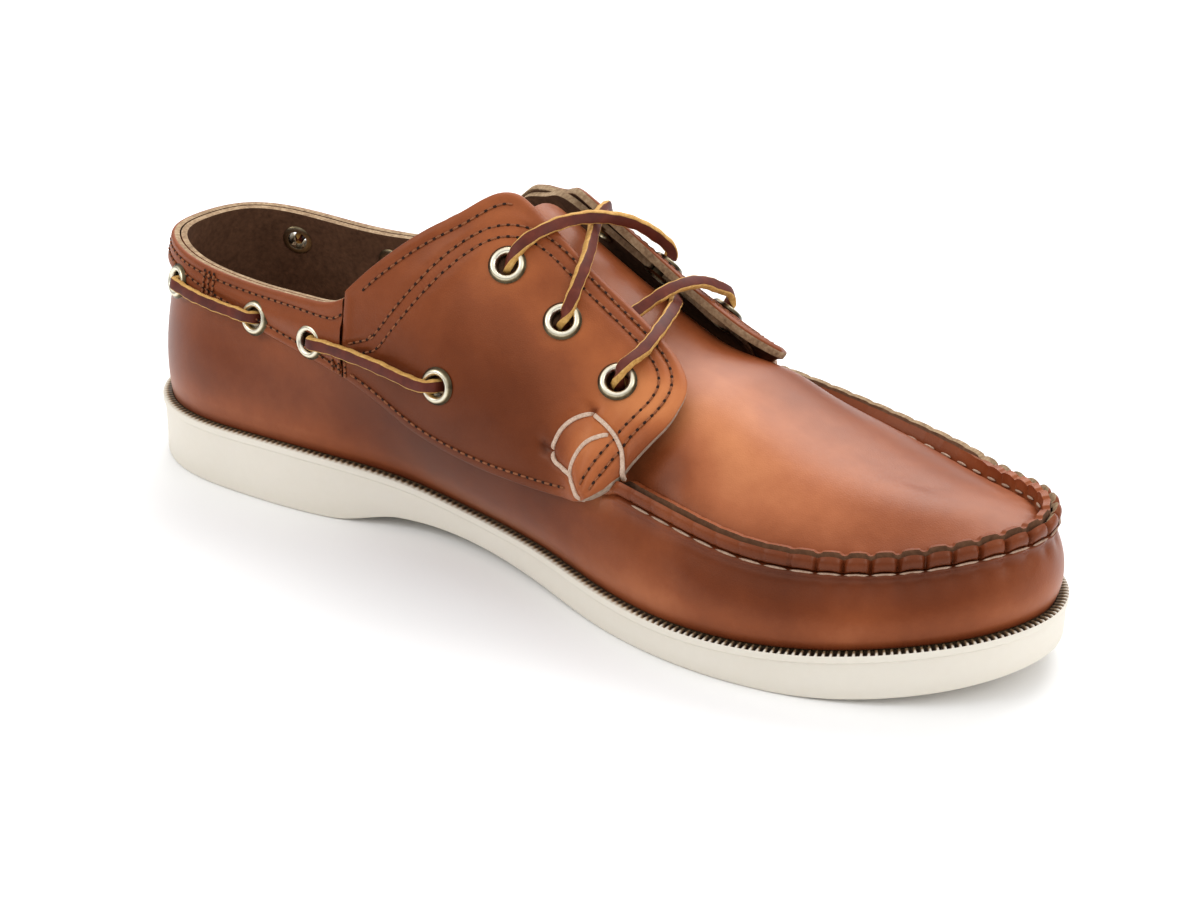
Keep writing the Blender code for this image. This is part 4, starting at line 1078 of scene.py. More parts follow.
def plug_shape(i, j):
    """Rows run from the medial lip over the crown to the lateral lip."""
    medial = j <= HALF_ROWS
    k = np.where(medial, j, 2 * HALF_ROWS - j)
    t = np.where(medial, plug_medial_t[i], plug_lateral_t[i])
    share = plug_share[i]
    n = outward(t)
    b = plug_lip_b[k]
    c = plug_crown[k]
    join = smoothstep((share - QUARTER_END) / (TONGUE_JOINED - QUARTER_END))
    border = TONGUE_EDGE + (TONGUE_JOIN - TONGUE_EDGE) * join
    lipped = smoothstep((share - LIP_START) / (LIP_FULL - LIP_START))
    border = border + (1.0 - border) * lipped
    v = border + (2 - border) * c
    body = surface(t, v)
    g = gather(t)
    d = slot_distance(t)
    slot = np.exp(-(d / PLUG_SLOT_WIDTH) ** 2)
    near_lip = 1 - smoothstep(c / 0.13)
    height = creased(body) * (1 - near_lip) - plug_sink(share)
    height = height - lipped * PLUG_DIP * np.exp(-((c - 0.035) / 0.045) ** 2) * (b == 0)
    ripple = np.cos(2 * pi * d / STITCH_PITCH) * np.exp(-(c / 0.10) ** 2)
    height = height - lipped * PLUG_RIPPLE * g * ripple
    body = body + plug_normal(t, v, c) * height[:, None]
    inward = (GAP / 2 + PLUG_LIP_EASE * smoothstep((b - 0.8) / 0.2)) * lipped
    pull = PLUG_PINCH * g * slot * smoothstep(b / 0.3) * lipped
    skin_in = PLUG_THICKNESS * lipped * (1 - smoothstep(c / 0.05))
    raised = (RIDGE_HEIGHT * b - LIP_DIP * g * slot * smoothstep((b - 0.5) / 0.5)) * lipped
    lean = lip_lean(t) * b ** 1.5 * lipped
    body = body - n * (inward + skin_in - pull - lean)[:, None]
    return body + UP * (raised - lean * LIP_LEAN_DROP)[:, None]


plug = grid("plug_tongue_shell", len(plug_medial_t) - 1, 2 * HALF_ROWS, plug_shape)
points = points_of(plug)
# Painted shade on the plug beside the seam's lip
seam_shade_mask = np.exp(-(seam_distance(points) / PLUG_SEAM_REACH) ** 2)
remember(plug, "tone_and_light", np.clip(toned(points) + PLUG_TONE - PLUG_SEAM_SHADE * seam_shade_mask, 0, 1))
weld(plug)
thicken(plug, PLUG_THICKNESS, [leather_vamp, leather_saddle, flesh])
finish_piece(plug, ["plug_tongue"])

# Saddles: where they meet the band, then the border as (share of the length, place up the surface)
# from the low rear corner forwards, and about how long one step up the surface is
SEAT = 0.316
JOINT_GAP = 0.0008
SADDLE = [
    (SEAT, 0.655),
    (0.400, 0.595),
    (0.500, 0.640),
    (0.570, 0.720),
    (0.616, 0.810),
    (0.636, 1.140),
    (0.654, 1.400),
    (0.657, 1.650),
    (0.630, 1.780),
    (0.580, 1.815),
    (0.530, 1.812),
    (0.480, 1.835),
    (0.446, 1.830),
    (0.416, 1.580),
    (0.372, 1.380),
    (0.340, 1.230),
    (SEAT, 1.110),
]
SADDLE_ROUNDING = [0, 0.3, 0.3, 0.3, 0.42, 0.3, 0.3, 0.45, 0.45, 0.3, 0.3, 0.3, 0.42, 0.3, 0.3, 0.3, 0]
SADDLE_MIDDLE = (0.500, 1.200)
SURFACE_SPAN = 0.055


def rounded(points, rounding, samples):
    """Polygon with each corner replaced by a curve that takes its rounding, a share, of both sides."""
    points = np.array(points, float)
    result = []
    for k in range(len(points)):
        p = points[k]
        a = points[k - 1]
        b = points[(k + 1) % len(points)]
        r = rounding[k]
        p0 = p + (a - p) * r
        p2 = p + (b - p) * r
        if r == 0:
            result.append(p)
            continue
        for s in np.linspace(0, 1, samples):
            result.append(p0 * (1 - s) ** 2 + 2 * p * s * (1 - s) + p2 * s * s)
    return np.array(result)


def flat_run(line):
    """Distance in metres along a line of (share, place up the surface)."""
    return run_along(np.array(line) * (LENGTH, SURFACE_SPAN))


def evened(line, count, closed):
    """Points at even distances along a line of (share, place up the surface)."""
    if closed:
        line = np.vstack([line, line[:1]])
    d = flat_run(line)
    at = np.linspace(0, d[-1], count + 1)
    return np.stack([np.interp(at, d, line[:, 0]), np.interp(at, d, line[:, 1])], axis=1)


def softened(line, rounds):
    """Open line with its corners smoothed and its ends kept."""
    line = line.copy()
    for _ in range(rounds):
        line[1:-1] = (line[:-2] + 2 * line[1:-1] + line[2:]) / 4
    return line


def inset(side, line, distance):
    """Line moved to its left along the surface by a distance in metres."""
    step = 2e-3
    s, v = line[:, 0], line[:, 1]
    ps = (surface(station(side, s + step), v) - surface(station(side, s - step), v)) / (2 * step)
    pv = (surface(station(side, s), v + step) - surface(station(side, s), v - step)) / (2 * step)
    ds, dv = np.gradient(s), np.gradient(v)
    along = ps * ds[:, None] + pv * dv[:, None]
    n = np.cross(ps, pv)
    left = np.cross(n, along)
    left = left / np.linalg.norm(left, axis=1, keepdims=True) * distance
    a, b, c = (ps * ps).sum(1), (ps * pv).sum(1), (pv * pv).sum(1)
    x, y = (left * ps).sum(1), (left * pv).sum(1)
    det = a * c - b * b
    return line + np.stack([(c * x - b * y) / det, (a * y - b * x) / det], axis=1)


SADDLE_POINTS = 600
FAR_FORWARD = 0.012
FAR_DROP = 0.115


def on_side(side, line):
    """The lateral saddle keeps lower on the instep and reaches a little further forward."""
    line = np.array(line, float)
    if side == MEDIAL:
        return line
    share, v = line[:, 0], line[:, 1]
    front = FAR_FORWARD * smoothstep((v - 1.10) / 0.30) * smoothstep((share - 0.58) / 0.06)
    back = FAR_FORWARD * smoothstep((v - 1.50) / 0.30) * smoothstep((0.50 - share) / 0.05)
    return np.stack([share + front + back, v - FAR_DROP * smoothstep((v - 1.40) / 0.30)], axis=1)


saddle_borders = {side: evened(on_side(side, rounded(SADDLE, SADDLE_ROUNDING, 12)), SADDLE_POINTS, True)
                  for side, word in SIDES}
border_lines = {side: surface(station(side, line[:, 0]), line[:, 1]) for side, line in saddle_borders.items()}

# Rings of the saddle from its middle to its edge, round the cut edge and back underneath
top_rings = np.concatenate([np.linspace(0.0, 0.835, 26), np.linspace(0.850, 0.984, 16), [0.991, 0.996, 1.0]])
rim_rings = np.array([1.001, 1.0015, 1.0, 0.998])
under_rings = np.array([0.985, 0.95, 0.80, 0.55, 0.30, 0.02])
RIM_LEVELS = [0.84, 0.50, 0.18, 0.0]
saddle_rings = np.concatenate([top_rings, rim_rings, under_rings])
saddle_level = np.concatenate([np.ones(len(top_rings)), RIM_LEVELS, np.zeros(len(under_rings))])
saddle_parts = [0] * (len(top_rings) - 1) + [1] * (len(rim_rings) + 1) + [2] * (len(under_rings) - 1)

# Double row of stitches: up from the tab, round the front corner, along the throat and down behind
ROW_APART = 0.0033
ROW_RUN = [(0.612, 0.930), (0.613, 1.050), (0.618, 1.207), (0.627, 1.322), (0.635, 1.443), (0.637, 1.568),
           (0.628, 1.652), (0.613, 1.690), (0.597, 1.712), (0.569, 1.728), (0.541, 1.736), (0.517, 1.745),
           (0.500, 1.745), (0.483, 1.723), (0.463, 1.660), (0.449, 1.589), (0.437, 1.511), (0.417, 1.384),
           (0.395, 1.245), (0.372, 1.110), (0.350, 0.985), (0.325, 0.870)]


def double_row(side):
    """The two stitch lines of the saddle, as (share, place up the surface)."""
    line = softened(evened(on_side(side, ROW_RUN), 260, False), 40)
    return [inset(side, line, ROW_APART / 2), inset(side, line, -ROW_APART / 2)]


saddle_rows = {side: double_row(side) for side, word in SIDES}

# Hand-sewn tab where the seam starts: its ridge on the medial and lateral saddles, and its threads
TAB_RIDGE = [(0.590, 1.230), (0.600, 1.080), (0.611, 0.940), (0.618, 0.820)]
TAB_THREADS = [
    [(0.588, 1.240), (0.577, 1.195), (0.567, 1.120), (0.563, 1.030)],
    [(0.563, 1.030), (0.570, 1.000), (0.583, 0.975), (0.594, 0.940), (0.602, 0.885), (0.612, 0.835)],
    [(0.607, 1.193), (0.596, 1.140), (0.589, 1.064), (0.590, 0.960)],
    [(0.588, 1.240), (0.601, 1.226), (0.618, 1.180), (0.628, 1.120), (0.634, 1.050)],
]
TAB_PITS = [(0.587, 1.262), (0.556, 1.030)]
TAB_HEIGHT = 0.0040
TAB_WIDTH = 0.0105
TAB_POINTS = 40
THREAD_RADIUS = 0.00058
THREAD_SINK = 0.0007
THREAD_SINK_WIDTH = 0.0011
PIT_DEPTH = 0.0016
PIT_WIDTH = 0.0014
PIT_HOLLOW = 0.0006
PIT_HOLLOW_WIDTH = 0.0045


def tab_line(side, line):
    """Curve through a short line of (share, place up the surface), and its points on the surface."""
    d = flat_run(line)
    curve = natural_spline(d, line)(np.linspace(0, d[-1], TAB_POINTS))
    return curve, surface(station(side, curve[:, 0]), curve[:, 1])


tab_ridges = {side: tab_line(side, TAB_RIDGE) for side, word in SIDES}
tab_threads = {side: [tab_line(side, line) for line in TAB_THREADS] for side, word in SIDES}


def line_distance(points, line):
    """Distance of each point from the nearest point of a line."""
    return np.sqrt(((points[:, None, :] - line[None]) ** 2).sum(2).min(1))


def tab_height(side, points):
    """Rolled ridge of the hand-sewn tab, drawn in where its threads pull."""
    line = tab_ridges[side][1]
    apart = np.sqrt(((points[:, None, :] - line[None]) ** 2).sum(2))
    along = apart.argmin(1) / (len(line) - 1)
    width = TAB_WIDTH * (0.55 + 0.45 * smoothstep(along / 0.5))
    height = TAB_HEIGHT * (0.30 + 0.70 * smoothstep(along / 0.6)) * (1 - smoothstep(apart.min(1) / width))
    for curve, thread in tab_threads[side]:
        height = height - THREAD_SINK * np.exp(-(line_distance(points, thread) / THREAD_SINK_WIDTH) ** 2)
    for share, v in TAB_PITS:
        pit = surface(np.array(station(side, share)), np.array(v))
        apart = np.linalg.norm(points - pit, axis=1)
        height = height - PIT_DEPTH * np.exp(-(apart / PIT_WIDTH) ** 2)
        height = height - PIT_HOLLOW * np.exp(-(apart / PIT_HOLLOW_WIDTH) ** 2)
    return height


def edge_round(distance, radius):
    """How far a rounded cut edge drops below the face, short of standing upright."""
    x = np.clip(1 - distance / radius, 0, 1)
    return radius * (1 - np.sqrt(1 - x * x * 0.98))


# How far the stitch rows sink, the leather puffs up beside them, and the cut edge is rounded
ROW_SINK = 0.0001
ROW_PUFF = 0.0005
SADDLE_EDGE = 0.0004
row_lines = {side: np.vstack([surface(station(side, row[::2, 0]), row[::2, 1]) for row in saddle_rows[side]])
             for side, word in SIDES}


def saddle_height(side, points, level=1.0):
    """Height of the saddle's face, or of its cut edge and underside at lower levels."""
    edge = line_distance(points, border_lines[side])
    row = line_distance(points, row_lines[side])
    face = OVERLAY + creased(points)
    face = face + ROW_PUFF * (np.exp(-((edge - 0.0015) / 0.0016) ** 2) + np.exp(-(row / 0.0030) ** 2))
    face = face - (ROW_SINK + ROW_PUFF) * np.exp(-(row / 0.0010) ** 2)
    face = face - edge_round(edge, SADDLE_EDGE)
    return OVERLAY_LOW + face * level + tab_height(side, points) * (0.45 + 0.55 * level)


def saddle_tone(side, points):
    """Darker along the cut edge and in the two rows of stitches."""
    edge = line_distance(points, border_lines[side])
    row = line_distance(points, row_lines[side])
    tone_and_light = toned(points) - 0.10 * np.exp(-(edge / 0.0012) ** 2) - 0.14 * np.exp(-(row / 0.0009) ** 2)
    return np.clip(tone_and_light, 0, 1)


for side, word in SIDES:
    def saddle_shape(i, j, side=side):
        k = i if side == LATERAL else SADDLE_POINTS - i
        q = np.array(SADDLE_MIDDLE) + (saddle_borders[side][k] - SADDLE_MIDDLE) * saddle_rings[j][:, None]
        t = station(side, q[:, 0])
        body = surface(t, q[:, 1])
        height = in_parts(lambda part, level: saddle_height(side, part, level), body, saddle_level[j])
        return body + surface_normal(t, q[:, 1]) * height[:, None]

    saddle = grid("saddle_shell_" + word, SADDLE_POINTS, len(saddle_rings) - 1, saddle_shape)
    cut_edge = pale_edge if side == MEDIAL else raw_edge
    by_row(saddle, SADDLE_POINTS, saddle_parts, [leather_saddle, cut_edge, flesh])
    remember(saddle, "tone_and_light", in_parts(lambda part: saddle_tone(side, part), points_of(saddle)))
    weld(saddle)
    open_holes(saddle, hole_centres, HOLE_ROOM)
    finish_piece(saddle, ["saddle_" + word])

# Collar band round the heel: its lower edge as (share of the length, place up the surface)
BAND_LOW = [
    (0.000, 0.830),
    (0.060, 0.830),
    (0.150, 0.770),
    (0.240, 0.690),
    (SEAT, 0.650),
]
band_low_at = natural_spline(column(BAND_LOW, 0), column(BAND_LOW, 1))
band_end = SEAT - JOINT_GAP
band_t = np.concatenate([
    even_t(float(station(LATERAL, band_end)), T_END, 180),
    even_t(0, float(station(MEDIAL, band_end)), 180)[1:] + T_END,
])
BAND_ROWS = np.array([
    0.05, 0.0, -0.003, -0.004, 0.0, 0.010, 0.022, 0.045, 0.09, 0.16, 0.26, 0.38, 0.5, 0.62, 0.74, 0.84,
    0.91, 0.955, 0.978, 0.990, 1.0, 1.004, 1.003, 1.0, 0.95])
BAND_LEVEL = np.array([0.0, 0.0, 0.3, 0.7, 0.9] + [1.0] * 15 + [0.9, 0.7, 0.3, 0.0, 0.0])
band_parts = [2] + [1] * 3 + [0] * 16 + [1] * 3 + [2]

# How far the band puffs up inside its rows of stitches and at its edges, how round its edges are,
# and how much of the creases it takes
BAND_PUFF = 0.0011
BAND_LIP = 0.0004
BAND_EDGE = 0.0005
BAND_CREASE = 0.5


def band_width(t, low, high):
    """Width of the band between its lower and its upper edge."""
    return np.linalg.norm(surface(t, high) - surface(t, low), axis=1)


def band_height(t, v, low, high):
    """Height of the band's face: puffed between its two rows of stitches, rounded at its edges."""
    f = np.clip((v - low) / (high - low), 0, 1)
    edge = np.minimum(f, 1 - f) * band_width(t, low, high)
    puff = BAND_PUFF * smoothstep((edge - 0.0028) / 0.004)
    puff = puff + BAND_LIP * np.exp(-((edge - 0.0012) / 0.0011) ** 2)
    return OVERLAY + puff - edge_round(edge, BAND_EDGE)


def band_shape(i, j):
    """Rows run from the underside round the lower edge, up the face and over the top edge."""
    t = band_t[i]
    share = share_of(t)
    low = band_low_at(share)
    high = topline_at(share)
    v = low + (high - low) * BAND_ROWS[j]
    height = OVERLAY_LOW + band_height(t, v, low, high) * BAND_LEVEL[j]
    body = surface(t, v)
    return body + surface_normal(t, v) * (height + creased(body) * BAND_CREASE)[:, None]


band = grid("collar_band_shell", len(band_t) - 1, len(BAND_ROWS) - 1, band_shape)
by_row(band, len(band_t) - 1, band_parts, [leather_saddle, raw_edge, flesh])
remember(band, "tone_and_light", np.clip(toned(points_of(band)) + 0.02, 0, 1))
open_holes(band, hole_centres, HOLE_ROOM)
finish_piece(band, ["collar_band"])

# Heel patch: its border as shares of its half width, and places up the surface
PATCH_HALF = 0.0125
PATCH_POINTS = 120
PATCH_MIDDLE = (0.0, 0.17)
PATCH_BORDER = [(-1.15, 0.02), (1.15, 0.02), (0.95, 0.16), (0.55, 0.36), (-0.55, 0.36), (-0.95, 0.16)]
PATCH_ROUNDING = [0.1, 0.1, 0.3, 0.4, 0.4, 0.3]
heel_speed = np.linalg.norm(outline_at(T_END * 1e-3) - outline_at(-T_END * 1e-3)) / (T_END * 2e-3)
patch_reach = PATCH_HALF / heel_speed
patch_line = rounded(PATCH_BORDER, PATCH_ROUNDING, 10) * (PATCH_HALF / LENGTH, 1)
patch_border = evened(patch_line, PATCH_POINTS, True) * (LENGTH / PATCH_HALF, 1)
patch_rings = np.concatenate([[1.0, 0.985, 0.965, 0.94], np.linspace(0.90, 0.0, 10)])


def patch_shape(i, j):
    """Rings run inwards from the patch's border, whose edge drops a little."""
    middle = np.array(PATCH_MIDDLE)
    q = middle + (patch_border[i] - middle) * patch_rings[j][:, None]
    drop = np.where(patch_rings[j] > 0.93, (patch_rings[j] - 0.93) * 0.006, 0)
    return offset_surface(q[:, 0] * patch_reach, q[:, 1], OVERLAY_LOW + PATCH - drop)


heel_patch = grid("heel_patch_shell", PATCH_POINTS, len(patch_rings) - 1, patch_shape)
remember(heel_patch, "tone_and_light", np.full(len(heel_patch.data.vertices), 0.45))
weld(heel_patch)
thicken(heel_patch, PATCH, [leather_patch, pale_edge, flesh])
finish_piece(heel_patch, ["heel_patch"])

# Outsole: side, ledge with its milled ribs, and the stitch groove underneath. Each row of the profile
# is its distance inside the outline, what its height counts from, that height, and its dirt and painted shade
MILL_COUNT = 365
SOLE_COLUMNS = MILL_COUNT * 8
MILL_DEPTH = 0.0009
MILL_LIFT = 0.0001
SIDE_WAVE = 0.00012
sole_t = even_t(0, T_END, SOLE_COLUMNS)
SOLE_PROFILE = [
    (GROOVE_INSET + GROOVE_WIDTH + 0.0010, "bottom", 0.0006, 0.10),
    (GROOVE_INSET + GROOVE_WIDTH, "bottom", 0.0, 0.18),
    (GROOVE_INSET + GROOVE_WIDTH * 0.85, "bottom", GROOVE_DEPTH * 0.8, 0.42),
    (GROOVE_INSET + GROOVE_WIDTH * 0.5, "bottom", GROOVE_DEPTH, 0.50),
    (GROOVE_INSET + GROOVE_WIDTH * 0.15, "bottom", GROOVE_DEPTH * 0.8, 0.42),
    (GROOVE_INSET, "bottom", 0.0, 0.18),
    (GROOVE_INSET * 0.5, "bottom", 0.0, 0.10),
    (RIB_DEPTH + EDGE_CHAMFER, "bottom", 0.0, 0.12),
    (RIB_DEPTH + EDGE_CHAMFER * 0.25, "bottom", EDGE_CHAMFER * 0.35, 0.10),
    (RIB_DEPTH, "bottom", EDGE_CHAMFER * 1.2, 0.06),
    (RIB_DEPTH, "middle", 0.35, 0.02),
    (RIB_DEPTH, "middle", 0.70, 0.02),
    (RIB_DEPTH * 0.9, "top", -RIB_HEIGHT - RIB_DEPTH, 0.04),
    (0.0, "top", -RIB_HEIGHT, 0.05),
    (0.0, "top", -RIB_DEPTH * 1.2, 0.06),
    (RIB_DEPTH * 0.4, "top", -0.0002, 0.08),
    (RIB_DEPTH * 1.4, "milled", 0.0, 0.25),
    (LEDGE * 0.50, "milled", 0.0, 0.80),
    (LEDGE * 0.62, "milled", 0.0, 1.00),
    (LEDGE * 0.95, "milled", 0.0, 1.00),
    (LEDGE * 1.05, "top", -MILL_DEPTH, 1.00),
    (LEDGE + 2 * WALL, "top", -MILL_DEPTH, 0.5),
]


def milled_tooth(columns):
    """0 on a rib of the ledge and 1 in the notch between two."""
    phase = (columns * MILL_COUNT / SOLE_COLUMNS) % 1
    return smoothstep(1.6 - 4.0 * np.abs(phase - 0.5))


def rib_strength(t):
    """The ribs are clear round the toe and faint along the sides and heel."""
    return 0.22 + 0.78 * smoothstep((share_of(t) - 0.64) / 0.12)


def sole_shape(i, j):
    """The profile's rows, swept round the outline."""
    t = sole_t[i]
    inset_by = column(SOLE_PROFILE, 0)[j]
    base = column(SOLE_PROFILE, 1)[j]
    rise = column(SOLE_PROFILE, 2)[j]
    xy = outline_at(t) - outward(t)[:, :2] * inset_by[:, None]
    share = xy[:, 0] / LENGTH
    bottom = sole_bottom(share)
    top = sole_top(share)
    tooth = milled_tooth(i) * rib_strength(t)
    low = bottom + EDGE_CHAMFER
    high = top - RIB_HEIGHT
    z = np.where(base == "bottom", bottom + rise, top + rise)
    z = np.where(base == "middle", low + (high - low) * rise, z)
    z = np.where(base == "milled", top + MILL_LIFT + rise - MILL_DEPTH * tooth, z)
    wave = SIDE_WAVE * np.sin(23 * t) * (base == "middle")
    xy = xy + outward(t)[:, :2] * wave[:, None]
    return lift(xy, z)


sole = grid("outsole_shell", SOLE_COLUMNS, len(SOLE_PROFILE) - 1, sole_shape)
# Painted shade in the notches between the milled ribs, on top of the profile's own dirt and shade
row_index = np.repeat(np.arange(len(SOLE_PROFILE)), SOLE_COLUMNS + 1)
column_index = np.tile(np.arange(SOLE_COLUMNS + 1), len(SOLE_PROFILE))
tooth = milled_tooth(column_index) * rib_strength(sole_t)[column_index]
milled = column(SOLE_PROFILE, 1)[row_index] == "milled"
dirt_and_shade = column(SOLE_PROFILE, 3)[row_index]
remember(sole, "dirt_and_shade", np.where(milled, np.clip(dirt_and_shade * 0.8 + tooth, 0, 1), dirt_and_shade))
weld(sole)
sole.data.materials.append(rubber)
finish_piece(sole, ["outsole"], 35)

# Tread: bottom of the sole inside the stitch groove, with two fields of wavy cuts
CUT_PITCH = 0.0047
CUT_WIDTH = 0.0009
CUT_DEPTH = 0.0012
CUT_PROFILE = ((-0.5, 0), (-0.22, 1), (0.22, 1), (0.5, 0))
WAVE_LENGTH = 0.0078
WAVE_HEIGHT = 0.0014
TREAD_THICKNESS = 0.0015
FIELDS = [(0.107, 0.262), (0.520, 0.866)]
FIELD_EDGE = 0.80
TREAD_ACROSS = 150
PLAIN_SHARES = [(0.030, 0.095, 8), (0.276, 0.505, 20), (0.882, 0.966, 10)]
tread_x = []
tread_cut = []
for low, high in FIELDS:
    count = int((high - low) * LENGTH / CUT_PITCH)
    for k in range(count + 1):
        x = low * LENGTH + k * CUT_PITCH
        for offset, deep in CUT_PROFILE:
            tread_x.append(x + offset * CUT_WIDTH)
            tread_cut.append(deep)
for share in np.concatenate([np.linspace(*span) for span in PLAIN_SHARES]):
    tread_x.append(share * LENGTH)
    tread_cut.append(0)
order = np.argsort(tread_x)
tread_x = np.array(tread_x)[order]
tread_cut = np.array(tread_cut)[order]
dense_t = np.linspace(0, T_END, 3000)


def inner_edges(inset_by):
    """Medial and lateral edge of a sheet that lies inside the outline, each from heel to toe."""
    ring = outline_at(dense_t) - outward(dense_t)[:, :2] * inset_by
    return ring[dense_t < T_TOE], ring[dense_t >= T_TOE][::-1]


def between(edges, x, f):
    """Place across a sheet, f of the way from its medial edge to its lateral one."""
    medial, lateral = edges
    y0 = np.interp(x, np.maximum.accumulate(medial[:, 0]), medial[:, 1])
    y1 = np.interp(x, np.maximum.accumulate(lateral[:, 0]), lateral[:, 1])
    return y0 + (y1 - y0) * f


tread_edges = inner_edges(GROOVE_INSET + GROOVE_WIDTH + 0.0004)


def tread_shape(i, j):
    """Columns run along the sole and rows across it; the cuts' lines zigzag inside the two fields."""
    x = tread_x[i]
    f = j / TREAD_ACROSS
    y = between(tread_edges, x, f)
    side_fade = 1 - smoothstep((np.abs(2 * f - 1) - FIELD_EDGE) / 0.02)
    in_field = np.zeros(len(x))
    share = x / LENGTH
    for low, high in FIELDS:
        ends = smoothstep((share - low + 0.012) / 0.012) * smoothstep((high + 0.016 - share) / 0.012)
        in_field = np.maximum(in_field, ends)
    phase = (y / WAVE_LENGTH) % 1
    wave = WAVE_HEIGHT * (np.abs(2 * phase - 1) * 2 - 1)
    deep = tread_cut[i] * side_fade
    z = sole_bottom(share) + CUT_DEPTH * deep
    return np.stack([x + wave * in_field * side_fade, y, z], axis=1)


tread = grid("tread_shell", len(tread_x) - 1, TREAD_ACROSS, tread_shape)
points = points_of(tread)
# Darker towards the bottom of the cuts
deep = np.clip((points[:, 2] - sole_bottom(points[:, 0] / LENGTH)) / CUT_DEPTH, 0, 1)
remember(tread, "dirt_and_shade", 0.10 + 0.62 * deep)
edit_all(tread, bpy.ops.mesh.flip_normals)
thicken(tread, TREAD_THICKNESS, [rubber])
finish_piece(tread, (), 35)

# Insole: a sheet that is cupped a little towards its edges
INSOLE_ROWS = 40
INSOLE_CUP = 0.0012
INSOLE_EASE = 0.0004
insole_x = np.linspace(0.022, 0.978, 121) * LENGTH
insole_edges = inner_edges(LEDGE + WALL + 0.0006)


def insole_shape(i, j):
    """The sheet lies on the sole and rises towards its edges."""
    x = insole_x[i]
    f = j / INSOLE_ROWS
    cup = INSOLE_CUP * np.abs(2 * f - 1) ** 4
    z = sole_top(x / LENGTH) + GAP + INSOLE_THICKNESS - INSOLE_EASE + cup
    return np.stack([x, between(insole_edges, x, f), z], axis=1)


insole = grid("insole_sheet", len(insole_x) - 1, INSOLE_ROWS, insole_shape)
remember(insole, "tone_and_light", np.full(len(insole.data.vertices), 0.5))
thicken(insole, INSOLE_THICKNESS - INSOLE_EASE, [sock])
finish_piece(insole, ["insole"])

# Eyelets: rows of radius, height above the saddle's face, and how bright the brass is: worn bright
# on the crest, with painted shade darkening the barrel and the outer rim
EYELET_TURN = 40
EYELET_LIFT = 0.0001
SHANK_DEPTH = OVERLAY + GAP + WALL
RING_HOLE = 0.0029
RING_RADIUS = 0.0053
BACK_RADIUS = 0.0050
EYELET_PROFILE = [
    (RING_HOLE, -SHANK_DEPTH, 0.05),
    (RING_HOLE, -0.0006, 0.25),
    (RING_HOLE + 0.0001, 0.0004, 0.80),
    (RING_HOLE + 0.0004, 0.0010, 1.00),
    (RING_HOLE + 0.0009, 0.0013, 1.00),
    (RING_HOLE + 0.0014, 0.0012, 0.85),
    (RING_HOLE + 0.0018, 0.0009, 0.35),
    (RING_RADIUS - 0.0004, 0.0006, 0.08),
    (RING_RADIUS, 0.0002, 0.05),
    (RING_RADIUS - 0.0002, -0.0003, 0.05),
    (EYELET_SHANK, -0.0003, 0.05),
    (EYELET_SHANK, -SHANK_DEPTH - 0.0003, 0.05),
    (BACK_RADIUS, -SHANK_DEPTH - 0.0003, 0.20),
    (BACK_RADIUS - 0.0003, -SHANK_DEPTH - 0.0007, 0.45),
    (RING_HOLE + 0.0003, -SHANK_DEPTH - 0.0008, 0.60),
]


for name, side, share, v in eyelet_places:
    middle, axis, a, b = eyelet_axis(side, share, v)
    middle = middle + axis * (creased(middle[None])[0] + EYELET_LIFT)

    def eyelet_shape(i, j):
        angle = -2 * pi * i / EYELET_TURN
        r = column(EYELET_PROFILE, 0)[j % len(EYELET_PROFILE)]
        h = column(EYELET_PROFILE, 1)[j % len(EYELET_PROFILE)]
        ray = a * np.cos(angle)[:, None] + b * np.sin(angle)[:, None]
        return middle + ray * r[:, None] + axis * h[:, None]

    eyelet = grid(name + "_ring", EYELET_TURN, len(EYELET_PROFILE), eyelet_shape)
    wear_and_shade = column(EYELET_PROFILE + EYELET_PROFILE[:1], 2)
    remember(eyelet, "wear_and_shade", np.repeat(wear_and_shade, EYELET_TURN + 1))
    weld(eyelet)
    eyelet.data.materials.append(brass)
    finish_piece(eyelet, [name])

# Laces: points round the thong, how square its corners are, and how much of its sides is raw
LACE_TURN = 20
CORNER = 0.45
RAW_SIDE = 0.75


def swept(name, path, wide, width, thickness, materials, samples):
    """Flat thong with soft corners along a path; wide gives its width direction at each point."""
    path = np.array(path, float)
    d = run_along(path, 0.6)
    at = np.linspace(0, d[-1], samples + 1)
    line = natural_spline(d, path)(at)
    wide = natural_spline(d, np.array(wide, float))(at)
    tangent = np.gradient(line, axis=0)
    tangent /= np.linalg.norm(tangent, axis=1, keepdims=True)
    wide = wide - tangent * (wide * tangent).sum(1, keepdims=True)
    wide /= np.linalg.norm(wide, axis=1, keepdims=True)
    thick = np.cross(tangent, wide)

    def shape(i, j):
        angle = 2 * pi * j / LACE_TURN
        c = np.cos(angle)
        s = np.sin(angle)
        a = np.sign(c) * np.abs(c) ** CORNER * width / 2
        b = np.sign(s) * np.abs(s) ** CORNER * thickness / 2
        closing = np.where((i == 0) | (i == samples), 0.02, 1.0)
        uneven = 1 + 0.05 * np.sin(i * 0.37) + 0.04 * np.sin(i * 0.83 + 1.3)
        return line[i] + (wide[i] * a[:, None] * uneven[:, None] + thick[i] * b[:, None]) * closing[:, None]

    piece = grid(name, samples, LACE_TURN, shape)
    for material in materials:
        piece.data.materials.append(material)
    around = np.repeat(np.arange(LACE_TURN), samples)
    angle = 2 * pi * (around + 0.5) / LACE_TURN
    raw = (np.abs(np.sin(angle)) < RAW_SIDE).astype(np.int32)
    if len(materials) > 1:
        piece.data.polygons.foreach_set("material_index", raw)
    weld(piece)
    return piece


def at_surface(side, share, v, height):
    """One point over the leather's surface."""
    return offset_surface(np.array(station(side, share)), np.array(float(v)), np.array(height))


